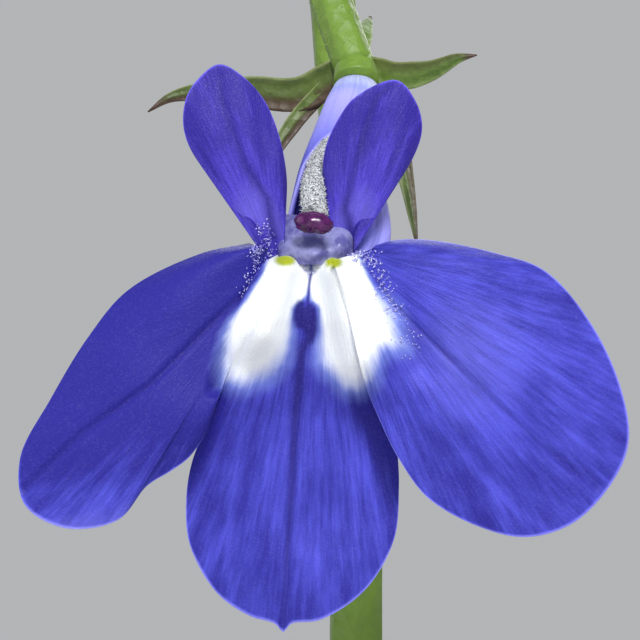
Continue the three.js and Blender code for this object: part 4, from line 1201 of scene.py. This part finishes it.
BUSH_EYE_SHIFT = vec(0.38, -2.45)
BUSH_LOBES = [
    dict(base=[(-0.35, 0.85), (-1.3, 0.6)], middle=(-2.4, 3), bend=0.5, size=(9, 16),
         edge=[(-0.6, 1.2), (-1, 3), (-1.9, 4.9), (-3.2, 5.6), (-4.3, 4.1), (-3.4, 1.8),
               (-1.7, 0.7)]),
    dict(base=[(-1.35, 0.5), (-0.9, -0.9)], middle=(-5.4, -3.9), bend=-1.1, size=(12, 24),
         edge=[(-1.8, 0.7), (-4.4, 0.2), (-7.2, -1.9), (-9.4, -5.6), (-8.9, -8.3), (-6.6, -8.4),
               (-4.4, -6), (-2.2, -3.4), (-1.4, -1.8)]),
    dict(base=[(-1, -0.5), (1, -0.5)], middle=(0, -6.6), bend=-1.5, size=(14, 26),
         edge=[(-1.4, -0.9), (-2.3, -2.6), (-3.9, -5.6), (-4.2, -7.9), (-2.9, -10.4), (-1, -11.5),
               (0, -11.9), (1, -11.5), (2.9, -10.4), (4.2, -7.9), (3.9, -5.6), (2.3, -2.6),
               (1.4, -0.9)]),
]
BUSH_CREST = [(0.75, -0.4), (1.05, -1.6), (1.5, -3.0), (1.9, -4.4)]
BUSH_LOBE_REACH = 12
BUSH_THICKNESS = 0.3
TUBE_STEPS, TUBE_SIDES = 12, 14
BUSH_TUBE = vec(0, 0.1, 0.15, 1.35, 0, 0.5, -1.6, 1.2, 0, 1.6, -3.4, 1.0, 0, 3.0, -5.4, 0.75)


def flipped(outline):
    return [(-u, v) for u, v in reversed(outline)]


def bush_lobes():
    whole = []
    for lobe in BUSH_LOBES:
        whole.append(lobe)
        if lobe["middle"][0]:
            whole.append(dict(lobe, base=flipped(lobe["base"]), edge=flipped(lobe["edge"]),
                              middle=(-lobe["middle"][0], lobe["middle"][1])))
    return whole


def bush_bloom(bloom, rng):
    shape = Shape()
    size = bloom["size"]

    def world(u, v, w):
        u, v, w = (np.asarray(x, float)[..., None] * size for x in (u, v, w))
        return bloom["throat"] + bloom["across"] * u + bloom["up"] * v + bloom["out"] * w

    tone = rng.uniform(0, 0.1)
    for lobe in bush_lobes():
        rows, columns = lobe["size"]
        uv, s, t, to_edge = lobe_grid(lobe["base"], lobe["edge"], rows, columns)
        reach = np.hypot(uv[..., 0], uv[..., 1])
        bend = lobe["bend"] * rng.uniform(0.8, 1.25)
        w = bend * (reach / BUSH_LOBE_REACH) ** 1.2 + 0.28 * np.sin(math.pi * s)
        mirrored_uv = np.stack([abs(uv[..., 0]), uv[..., 1]], -1)
        w = w + crest_height(mirrored_uv, BUSH_CREST, 0.8, 0.5, 0.8)
        w = w + 0.12 * waves(rng, s, 14 * t, 4, 0.8, 1.4) * smoothstep(0.3, 1, s)
        middle = vec(*lobe["middle"])
        rib_gap, _ = from_path(uv, [middle * 0.3, middle, middle * 1.75])
        w = w - 0.12 * bell(rib_gap, 0.3)
        if lobe["bend"] < 0:
            w = w - 0.12 * (abs(lobe["middle"][0]) < 1)
        thick = BUSH_THICKNESS * (1 - 0.8 * bell(to_edge, 0.3))
        eye_uv = np.stack([-abs(uv[..., 0]), uv[..., 1]], -1) - BUSH_EYE_SHIFT
        eye = np.clip(0.5 + 0.5 * depth_inside(eye_uv, LEFT_EYE) / 0.6, 0, 1)
        if lobe["bend"] > 0:
            eye = eye * 0
        dark = np.clip(0.7 * bell(rib_gap, 0.16) * smoothstep(0.2, 0.5, s), 0, 1)
        # Painted highlight along each lobe's rim, over a random pale tone of the bloom.
        pale = np.clip(tone + 0.4 * bell(to_edge, 0.12), 0, 1)
        marks = np.stack([eye, dark, 0 * eye, pale], -1)
        front = world(uv[..., 0], uv[..., 1], w)
        back = world(uv[..., 0], uv[..., 1], w - thick)
        shape.add_sheet(front, back, marks, pale_back(marks), lobe_lay(s, t))
    path = smooth_path(BUSH_TUBE.reshape(-1, 4), TUBE_STEPS)
    centre = world(*path[:, :3].T)
    rings = tube_rings(centre, path[:, 3] * size, TUBE_SIDES)
    inside = tube_rings(centre, path[:, 3] * size * 0.86, TUBE_SIDES)
    share = np.linspace(0, 1, TUBE_STEPS)[:, None] * np.ones((1, TUBE_SIDES + 1))
    wrap = np.concatenate([rings, rings[:, :1]], 1)
    wrap_inside = np.concatenate([inside, inside[:, :1]], 1)
    marks = np.zeros(share.shape + (4,))
    marks[..., 3] = 0.3 + 0.6 * smoothstep(0.3, 1, share)
    dark = np.zeros_like(marks)
    dark[..., 1] = 0.9
    shape.add_sheet(wrap, wrap_inside, marks, dark, np.stack([share * 6, share], -1))
    anther_path = world([0, 0, 0], [1.5, 1.1, 0.6], [-2.2, -0.6, 0.5])
    anther = tube_rings(smooth_path(anther_path, 8), np.full(8, 0.42 * size), 8)
    shape.add_rings(anther, material=1)
    add_beads(shape, [world(0, 0.25, 0.85)], 0.52 * size, 2, squash=(1, 1, 0.8))
    return shape


def build_bush_blooms(blooms, petal, anther, stigma):
    rng = np.random.default_rng(SEEDS["blooms"])
    for i, bloom in enumerate(blooms):
        name = f"bloom_{i + 1:02d}"
        add_piece(f"{name}_corolla", bush_bloom(bloom, rng), [petal, anther, stigma], name)


# Leafy stems

TOOTHED_BLADE = [(0, 0.12, 0.28, 0.5, 0.68, 0.85, 1), (0.14, 0.16, 0.3, 0.8, 1, 0.7, 0.03)]
PLAIN_BLADE = [(0, 0.3, 0.55, 0.8, 1), (0.14, 0.74, 0.9, 0.72, 0.03)]
TEETH = 6.5
BUD_SEPAL = vec(0.7, 1, 0.9, 0.65, 0.35, 0.06) * 0.09
CALYX_SEPAL = vec(0.8, 1, 1, 0.9, 0.72, 0.5, 0.28, 0.05) * 0.42
CALYX_BROWN = vec(0, 0, 0, 0, 0, 0.1, 0.4, 0.8)
EXTRA_LEAVES = dict(bush=26, front=10, longest=19, shortest=9, widest=7, narrowest=2.6)
BUD_LENGTH = 6.0
PEDICEL_HAIRS = 420


def add_leaf(shape, leaf, rng, rows=15, columns=9, young=0.0):
    """A leaf blade with a sunk rib, cupped halves and a cut or nearly plain edge."""
    far = np.linspace(0, 1, rows)[:, None] * np.ones((1, columns))
    side = np.linspace(-1, 1, columns)[None] * np.ones((rows, 1))
    if leaf["toothed"]:
        teeth = 1 - 0.2 * ((far * TEETH) % 1) * smoothstep(0.3, 0.5, far)
        wide = np.interp(far, *TOOTHED_BLADE) * teeth
    else:
        wide = np.interp(far, *PLAIN_BLADE)
    sag = 0.16 * leaf["width"] * waves(rng, 3 * far, side, 3, 0.8, 1.6) * far
    rib = bell(side, 0.2)
    bulge = 0.07 * leaf["width"] * (1 - side ** 2) * (1 - rib)
    across = side * wide
    thick = 0.16 + 0.14 * (1 - abs(side))
    top = leaf_point(leaf, far, across, sag + bulge + 0.5 * thick)
    low = leaf_point(leaf, far, across, sag + bulge - 0.5 * thick)
    marks = np.zeros(far.shape + (4,))
    marks[..., 1] = 0.45 * rib * (1 - 0.6 * far) + 0.12 * (abs(side) > 0.95)
    marks[..., 2] = young
    low_marks = marks.copy()
    low_marks[..., 1] = 0.25 + 0.4 * rib
    shape.add_sheet(top, low, marks, low_marks, np.stack([far, side], -1))


def add_bud(shape, root, axis, length, rng, petal_slot):
    """A closed bud: green calyx below, violet corolla above with a nodding tip."""
    lean = unit(axis + 0.25 * rng.normal(0, 1, 3))
    path = smooth_path([root, root + axis * length * 0.5, root + axis * length * 0.6
                        + lean * length * 0.5], 12)
    wide = np.interp(np.linspace(0, 1, 12), [0, 0.2, 0.5, 0.8, 1], [0.35, 0.75, 0.62, 0.8, 0.12])
    marks = np.zeros((12, 4))
    marks[:, 3] = 0.5 * (1 - np.linspace(0, 1, 12))
    shape.add_rings(tube_rings(path, wide * length * 0.24, 9), marks, petal_slot)
    a, b = square_to(axis, vec(0.3, 0.2, 1))
    for k in range(5):
        angle = 2 * math.pi * k / 5 + rng.uniform(-0.15, 0.15)
        out = turned_by(a, b, angle)
        foot = root + out * length * 0.08 + axis * length * 0.05
        tip = root + out * length * 0.3 + axis * length * 0.62
        sepal = smooth_path([foot, mix(foot, tip, 0.5) + out * length * 0.05, tip], 6)
        shape.add_rings(tube_rings(sepal, BUD_SEPAL * length, 5, 0.4), (0, 0, 0.3, 0))


def add_calyx(shape, pedicel, rng):
    """The green cup and five narrow sepals behind a bloom."""
    bloom, back = pedicel["bloom"], pedicel["back"]
    size = bloom["size"]
    seat = bloom["tube_end"] + back * (GAP + 0.5 * CALYX_THICKNESS)
    cup = smooth_path([seat + back * 2.2 * size, seat + back * 0.9 * size, seat - back * 0.4], 9)
    wide = np.interp(np.linspace(0, 1, 9), [0, 0.5, 1], [0.5, 0.95, 1.05]) * size
    shape.add_rings(tube_rings(cup, wide, 10), (0, 0, 0.25, 0))
    a, b = square_to(back, bloom["across"])
    for k in range(5):
        angle = 2 * math.pi * k / 5 + rng.uniform(-0.2, 0.2)
        out = turned_by(a, b, angle)
        foot = seat + out * 0.75 * size
        bow = seat + out * 2.2 * size - back * 0.2
        tip = seat + out * CALYX_LOBE * size - back * rng.uniform(0.2, 1.4)
        path = smooth_path([foot, bow, tip], 8)
        marks = np.zeros((8, 4))
        marks[:, 0] = CALYX_BROWN
        shape.add_rings(tube_rings(path, CALYX_SEPAL * size, 6, 0.45), marks)


def add_extra_leaves(shape, stem, stems, blooms, rng):
    """Leaves between the main ones, somewhat smaller, only where they keep clear."""
    extra = EXTRA_LEAVES
    for _ in range(extra["front"] if stem["front"] else extra["bush"]):
        t = rng.uniform(0.3, 0.6 if stem["front"] else 1.0)
        placed = leaf_frame(stem, t, rng.uniform(0, 2 * math.pi))
        placed["toothed"] = t < 0.5
        length = mix(extra["longest"], extra["shortest"], t) * rng.uniform(0.7, 1.1)
        width = mix(extra["widest"], extra["narrowest"], t)
        leaf = fit_leaf(placed, length, width, (1, 0.75, 0.5), stem, stems, blooms)
        if leaf:
            add_leaf(shape, leaf, rng, 11, 7, 0.25 * t)


def stem_shape(stem, stems, blooms, rng):
    shape = Shape()
    steps = 44
    share = np.linspace(0, 1, steps)
    path = bezier(stem["curve"], share)
    knots = 1 + 0.1 * bell((share * 14) % 1 - 0.5, 0.12)
    rings = tube_rings(path, mix(STEM_BASE, STEM_TIP, share) * knots, 12)
    ridge = 1 + 0.06 * np.cos(np.arange(12) * math.pi)
    rings = ridged(rings, path, ridge)
    marks = np.zeros((steps, 4))
    marks[:, 2] = 0.5 * share
    marks[:, 3] = 0.55 * (1 - smoothstep(0.05, 0.45, share))
    shape.add_rings(rings, marks)
    for leaf in stem["leaves"]:
        add_leaf(shape, leaf, rng)
    add_extra_leaves(shape, stem, stems, blooms, rng)
    tip = bezier(stem["curve"], 1.0)
    axis = tangent(stem["curve"], 1.0)
    add_bud(shape, tip - axis * 0.6, axis, BUD_LENGTH, rng, 1)
    return shape


def add_bush_flowering(shape, stem, rng):
    for pedicel in stem["pedicels"]:
        share = np.linspace(0, 1, 16)
        path = bezier(pedicel["curve"], share)
        marks = np.zeros((16, 4))
        marks[:, 2] = 0.4
        shape.add_rings(tube_rings(path, PEDICEL_RADIUS * mix(0.9, 1.1, share), 8), marks)
        add_calyx(shape, pedicel, rng)


# The front bloom's green cup and its sepals, right, up and near
FRONT_CUP = vec(0.98, 8.2, -6.35, 1.09, 7.85, -5.95, 1.12, 7.4, -5.55).reshape(-1, 3)
FRONT_SEPALS = [
    dict(path=[(0.95, 7.95, -6.0), (-0.6, 7.05, -6.2), (-2.6, 7.15, -6.5), (-4.6, 6.95, -6.6),
               (-5.36, 6.48, -6.5)], wide=0.58, shade=0.95),
    dict(path=[(1.3, 7.9, -5.9), (2.3, 7.6, -5.6), (3.4, 7.75, -5.3), (4.3, 8.15, -5.1),
               (4.89, 8.25, -5.0)], wide=0.48, shade=0.55),
    dict(path=[(1.4, 7.7, -6.0), (2.3, 6.0, -5.6), (2.7, 4.3, -5.0), (2.95, 2.8, -4.4),
               (3.05, 2.1, -4.2)], wide=0.36, shade=0.85),
    dict(path=[(0.7, 7.7, -6.2), (-0.6, 6.4, -6.2), (-1.6, 4.9, -5.7), (-2.2, 3.6, -5.2)], wide=0.3,
         shade=0.95),
    dict(path=[(1.1, 8.1, -6.3), (1.3, 8.8, -7.8), (1.6, 9.5, -10)], wide=0.36, shade=0.3),
]


def add_front_flowering(shape, stem, rng):
    share = np.linspace(0, 1, 60)
    path = bezier(stem["pedicels"][0]["curve"], share)
    radius = mix(PEDICEL_RADIUS, 0.65, np.minimum(1, share * 1.4))
    sides = 24
    rings = tube_rings(path, radius, sides)
    ridge = 1 + 0.05 * np.cos(np.arange(sides) * 2 * math.pi * 6 / sides)
    rings = ridged(rings, path, ridge)
    marks = np.zeros((60, 4))
    marks[:, 2] = 0.35
    shape.add_rings(rings, marks)
    cup = smooth_path(front_point(*FRONT_CUP.T), 12)
    shape.add_rings(tube_rings(cup, np.linspace(0.58, 0.74, 12), sides), (0, 0, 0.3, 0))
    for sepal in FRONT_SEPALS:
        line = smooth_path(front_point(*np.array(sepal["path"]).T), 30)
        far = np.linspace(0, 1, 30)
        wide = sepal["wide"] * np.interp(far, [0, 0.15, 0.45, 0.8, 1], [0.75, 1, 0.9, 0.42, 0.04])
        columns = 11
        ahead = unit(np.gradient(line, axis=0))
        across = unit(np.cross(ahead, FRONT_OUT))
        face = np.cross(across, ahead)
        face = face * np.sign(face @ FRONT_OUT)[:, None]
        side = np.linspace(-1, 1, columns)[None, :, None]
        hollow = -0.35 * (1 - side ** 2) * wide[:, None, None] * face[:, None]
        mid = line[:, None] + across[:, None] * side * wide[:, None, None] + hollow
        thick = (0.05 + 0.1 * (1 - abs(side))) * np.minimum(1, wide / 0.2)[:, None, None]
        marks = np.zeros((30, columns, 4))
        # Painted shade: each front sepal darkened through the brown mark, most on one side.
        shaded = sepal["shade"] * mix(0.45, 1, smoothstep(0.1, -0.5, side[..., 0]))
        marks[..., 0] = np.maximum(smoothstep(0.82, 0.95, far)[:, None], shaded)
        # Painted highlight: both edges of each sepal paler.
        marks[..., 1] = 0.55 * smoothstep(0.7, 1, abs(side[..., 0]))
        lay = np.stack(np.broadcast_arrays(far[:, None] * 6, side[..., 0]), -1)
        shape.add_sheet(mid + face[:, None] * thick, mid - face[:, None] * thick, marks, marks, lay)
    pick = rng.integers(20, 58, PEDICEL_HAIRS), rng.integers(0, sides, PEDICEL_HAIRS)
    outward = unit(rings[pick] - path[pick[0]])
    add_hairs(shape, rings[pick], outward + 0.3 * rng.normal(0, 1, outward.shape),
              rng.uniform(0.06, 0.16, PEDICEL_HAIRS), 0.012, marks=(0, 0.8, 0, 0))


def build_stems(stems, blooms, green, petal):
    rng = np.random.default_rng(SEEDS["stems"])
    for i, stem in enumerate(stems):
        shape = stem_shape(stem, stems, blooms, rng)
        if stem["front"]:
            add_front_flowering(shape, stem, rng)
        else:
            add_bush_flowering(shape, stem, rng)
        name = "stem_front" if stem["front"] else f"stem_{i:02d}"
        add_piece(f"{name}_leafy", shape, [green, petal], name)


# Pot and soil

def pot_wall(height):
    return mix(POT["base"], POT["top"] - POT["step"], height / POT["height"])


def lathe(profile, segments, wobble):
    """A closed body of revolution whose profile starts and ends on the axis."""
    angle = circle(segments)[None]
    radius = profile[1:-1, 0][:, None]
    height = profile[1:-1, 1][:, None]
    radius = radius + wobble(radius, height, angle)
    points = np.stack([radius * np.cos(angle), radius * np.sin(angle),
                       height * np.ones_like(angle)], -1)
    count = len(points)
    quads = grid_quads(count, segments, around=True)
    s = np.arange(segments)
    after = (s + 1) % segments
    low = np.stack([after, s, np.full(segments, count * segments)], -1)
    high = np.stack([s, after, np.zeros(segments, int)], -1) + (count - 1) * segments
    high[:, 2] = count * segments + 1
    flat = np.vstack([points.reshape(-1, 3), [0, 0, profile[0, 1]], [0, 0, profile[-1, 1]]])
    return flat, facing_out(flat, [quads, low, high])


def rounded(profile, reach, steps=4):
    """A profile with each inner corner turned into a short curve."""
    profile = np.asarray(profile, float)
    made = [profile[0]]
    for before, corner, after in zip(profile[:-2], profile[1:-1], profile[2:]):
        cut_in = min(reach, 0.45 * np.linalg.norm(corner - before))
        cut_out = min(reach, 0.45 * np.linalg.norm(after - corner))
        start = corner + unit(before - corner) * cut_in
        end = corner + unit(after - corner) * cut_out
        for share in np.linspace(0, 1, steps):
            made.append((1 - share) ** 2 * start + 2 * share * (1 - share) * corner + share ** 2 * end)
    made.append(profile[-1])
    return np.array(made)


def build_pot(clay):
    height, rim_foot = POT["height"], POT["height"] - POT["rim"]
    levels = (height - POT["edge"], SOIL_TOP, POT["floor"])
    inner = [(pot_wall(z) - POT["wall"], z) for z in levels]
    corners = [(0, 0), (POT["base"], 0), (pot_wall(rim_foot), rim_foot),
               (POT["top"] - 0.8, rim_foot + 0.8), (POT["top"], height), (inner[0][0], height),
               inner[1], inner[2], (0, POT["floor"])]
    rough = rounded(corners, 1.6)
    fine = []
    for a, b in zip(rough[:-1], rough[1:]):
        steps = max(1, int(np.linalg.norm(b - a) / 2.5))
        fine += [mix(a, b, k / steps) for k in range(steps)]
    fine.append(rough[-1])

    def wobble(radius, level, angle):
        throwing = 0.05 * np.sin(level * 2.1) * (radius > 20)
        return throwing + 0.12 * np.sin(2 * angle + 0.6) * level / height * (radius > 20)

    points, blocks = lathe(np.array(fine), 144, wobble)
    shape = Shape()
    shape.add(points, blocks)
    pot = add_piece("pot_clay", shape, [clay], "pot")
    cutter = Shape()
    for k in range(POT["drains"]):
        angle = 2 * math.pi * (k + 0.5) / POT["drains"]
        place = vec(math.cos(angle), math.sin(angle), 0) * POT["drain_out"]
        path = place + np.outer([-1, 2, 5, 9], UP)
        cutter.add_rings(tube_rings(path, POT["drain"], 28))
    drills = new_object("drills", cutter.mesh("drills", []))
    cut = pot.modifiers.new("drains", "BOOLEAN")
    cut.object = drills
    cut.solver = "EXACT"
    bpy.context.view_layer.update()
    whole = bpy.data.meshes.new_from_object(pot.evaluated_get(bpy.context.evaluated_depsgraph_get()))
    pot.modifiers.clear()
    pot.data = whole
    bpy.data.objects.remove(drills)


SOIL_SEGMENTS, SOIL_RINGS = 150, 60
CRUMBS, CRUMB_GROUPS, WHITE_CRUMBS = 1500, 5, 70


def soil_height(x, y):
    return SOIL_TOP + SOIL_LUMP * (np.sin(0.31 * x + 1.3) * np.cos(0.27 * y)
                                   + 0.6 * np.sin(0.19 * x - 0.42 * y))


def build_soil(soil):
    rng = np.random.default_rng(SEEDS["soil"])
    edge = pot_wall(SOIL_TOP) - POT["wall"] - 0.35
    angle = circle(SOIL_SEGMENTS)[None]
    rings = []
    bottom = POT["floor"] + GAP
    for level in np.linspace(bottom, SOIL_TOP - 2.5, 8):
        radius = (pot_wall(level) - POT["wall"] - 0.4) * np.ones_like(angle)
        rings.append(np.stack([radius * np.cos(angle), radius * np.sin(angle), level + 0 * angle], -1)[0])
    for share in np.linspace(1, 0.02, SOIL_RINGS):
        x, y = edge * share * np.cos(angle), edge * share * np.sin(angle)
        rough = 0.35 * waves(rng, 1.1 * x, 1.1 * y, 6, 0.7, 2.2) if share < 0.99 else 0 * x
        z = soil_height(x, y) + rough - 0.5 * smoothstep(0.85, 1, share)
        rings.append(np.stack([x, y, z], -1)[0])
    shape = Shape()
    shape.add_rings(np.array(rings))
    far = edge * 0.97 * np.sqrt(rng.uniform(0, 1, CRUMBS))
    turn = rng.uniform(0, 2 * math.pi, CRUMBS)
    x, y = far * np.cos(turn), far * np.sin(turn)
    size = rng.uniform(0.35, 1.25, CRUMBS) ** 1.3
    centres = np.stack([x, y, soil_height(x, y) + 0.25 * size], -1)
    for k in range(CRUMB_GROUPS):
        group = slice(k * CRUMBS // CRUMB_GROUPS, (k + 1) * CRUMBS // CRUMB_GROUPS)
        squash = rng.uniform(0.6, 1.3, 3)
        add_beads(shape, centres[group], size[group], marks=(0, 0.5 * (k % 2), 0, 0), squash=squash)
    white = rng.choice(CRUMBS, WHITE_CRUMBS, replace=False)
    add_beads(shape, centres[white] + UP * 0.5, size[white] * 0.8, marks=(0.9, 0, 0, 0),
              squash=(1, 0.8, 0.7))
    add_piece("soil_bed", shape, [soil], "soil")


# Stage, lights and camera

FLOOR_HALF = 20.0
FLOOR_COLOUR = (0.72, 0.72, 0.71, 1)
WORLD_COLOUR, WORLD_STRENGTH = (0.80, 0.82, 0.84, 1), 0.56
LIGHT_TARGET = vec(0, 0, 0.12)
# Name, place in metres, width, power and tint
LIGHTS = [
    ("key", (0.12, -0.92, 0.6), 0.3, 10.6, (1, 0.99, 0.97)),
    ("fill", (-0.9, -0.5, 0.45), 0.8, 2.5, (0.94, 0.97, 1)),
    ("back", (0.2, 0.9, 0.8), 0.7, 5.0, (1, 1, 1)),
]
SENSOR_WIDTH = 36


def set_place(thing, axes, place):
    turned = np.eye(4)
    turned[:3, :3] = np.stack(axes, 1)
    turned[:3, 3] = place
    thing.matrix_world = Matrix(turned.tolist())


def build_stage():
    mesh = bpy.data.meshes.new("floor")
    half = FLOOR_HALF
    mesh.from_pydata([(-half, -half, 0), (half, -half, 0), (half, half, 0), (-half, half, 0)], [],
                     [(0, 1, 2, 3)])
    floor = new_object("floor", mesh)
    material, tree, shader = new_tree("floor")
    shader.inputs["Base Color"].default_value = FLOOR_COLOUR
    shader.inputs["Roughness"].default_value = 0.9
    mesh.materials.append(material)
    world = bpy.data.worlds.new("studio")
    bpy.context.scene.world = world
    world.use_nodes = True
    back = world.node_tree.nodes["Background"]
    back.inputs["Color"].default_value = WORLD_COLOUR
    back.inputs["Strength"].default_value = WORLD_STRENGTH


def add_light(name, place, size, power, tint):
    lamp = bpy.data.lights.new(name, "AREA")
    lamp.shape = "DISK"
    lamp.size = size
    lamp.energy = power
    lamp.color = tint
    back = unit(vec(*place) - LIGHT_TARGET)
    side = unit(np.cross(UP, back))
    set_place(new_object(name, lamp), [side, np.cross(back, side), back], place)


def build_camera():
    lens = bpy.data.cameras.new("camera")
    lens.sensor_fit = "HORIZONTAL"
    lens.sensor_width = SENSOR_WIDTH
    lens.lens = SENSOR_WIDTH * VIEW_DISTANCE / PICTURE_WIDTH
    lens.clip_start = 0.01
    lens.clip_end = 100
    camera = new_object("camera", lens)
    set_place(camera, [vec(1, 0, 0), FRONT_UP, FRONT_OUT],
              (FRONT_CENTRE + FRONT_OUT * VIEW_DISTANCE) * METRE)
    bpy.context.scene.camera = camera
    bpy.context.scene.view_settings.view_transform = "Standard"


def build_plant():
    draw = seeded_random(BUSH["seed"])
    bush_stems = place_stems(draw)
    blooms = place_blooms(draw)
    join_blooms(bush_stems, blooms)
    front_bloom = bloom_frame(front_point(0, 2.4, 0), FRONT_OUT, 0, 1)
    stems = [place_front_stem(), *bush_stems]
    all_blooms = [front_bloom, *blooms]
    for stem in stems:
        stem["path"] = bezier(stem["curve"], np.linspace(0, 1, 25))
        stem["twigs"] = [bezier(p["curve"], np.linspace(0, 1, 9)) for p in stem["pedicels"]]
    for stem in stems:
        stem["leaves"] = place_leaves(stem, stems, all_blooms, draw)
    petal = petal_material("petal")
    upper = petal_material("upper_petal", UPPER_DEEP, UPPER_BRIGHT)
    green = green_material("foliage", LEAF_DEEP, LEAF_FRESH)
    anther = plain_material("anther", colour(52, 56, 66), colour(206, 210, 214), 0.06, 0.6, 0.02)
    bristle = plain_material("bristle", colour(190, 195, 200), colour(238, 240, 242), 0.1, 0.4, 0.01)
    stigma = plain_material("stigma", colour(54, 0, 62), colour(78, 0, 82), 0.3, 0.2, 0.004)
    dew = plain_material("papilla", colour(128, 124, 222), colour(214, 216, 246), 0.1, 0.25, 0.01)
    throat = plain_material("throat", colour(84, 82, 146), colour(128, 130, 182), 0.5, 0.36, 0.02)
    build_front_bloom(petal, upper, throat, anther, bristle, stigma, dew)
    build_bush_blooms(blooms, petal, anther, stigma)
    build_stems(stems, all_blooms, green, petal)
    build_pot(terracotta_material())
    build_soil(soil_material())


build_camera()
build_stage()
for light in LIGHTS:
    add_light(*light)
build_plant()
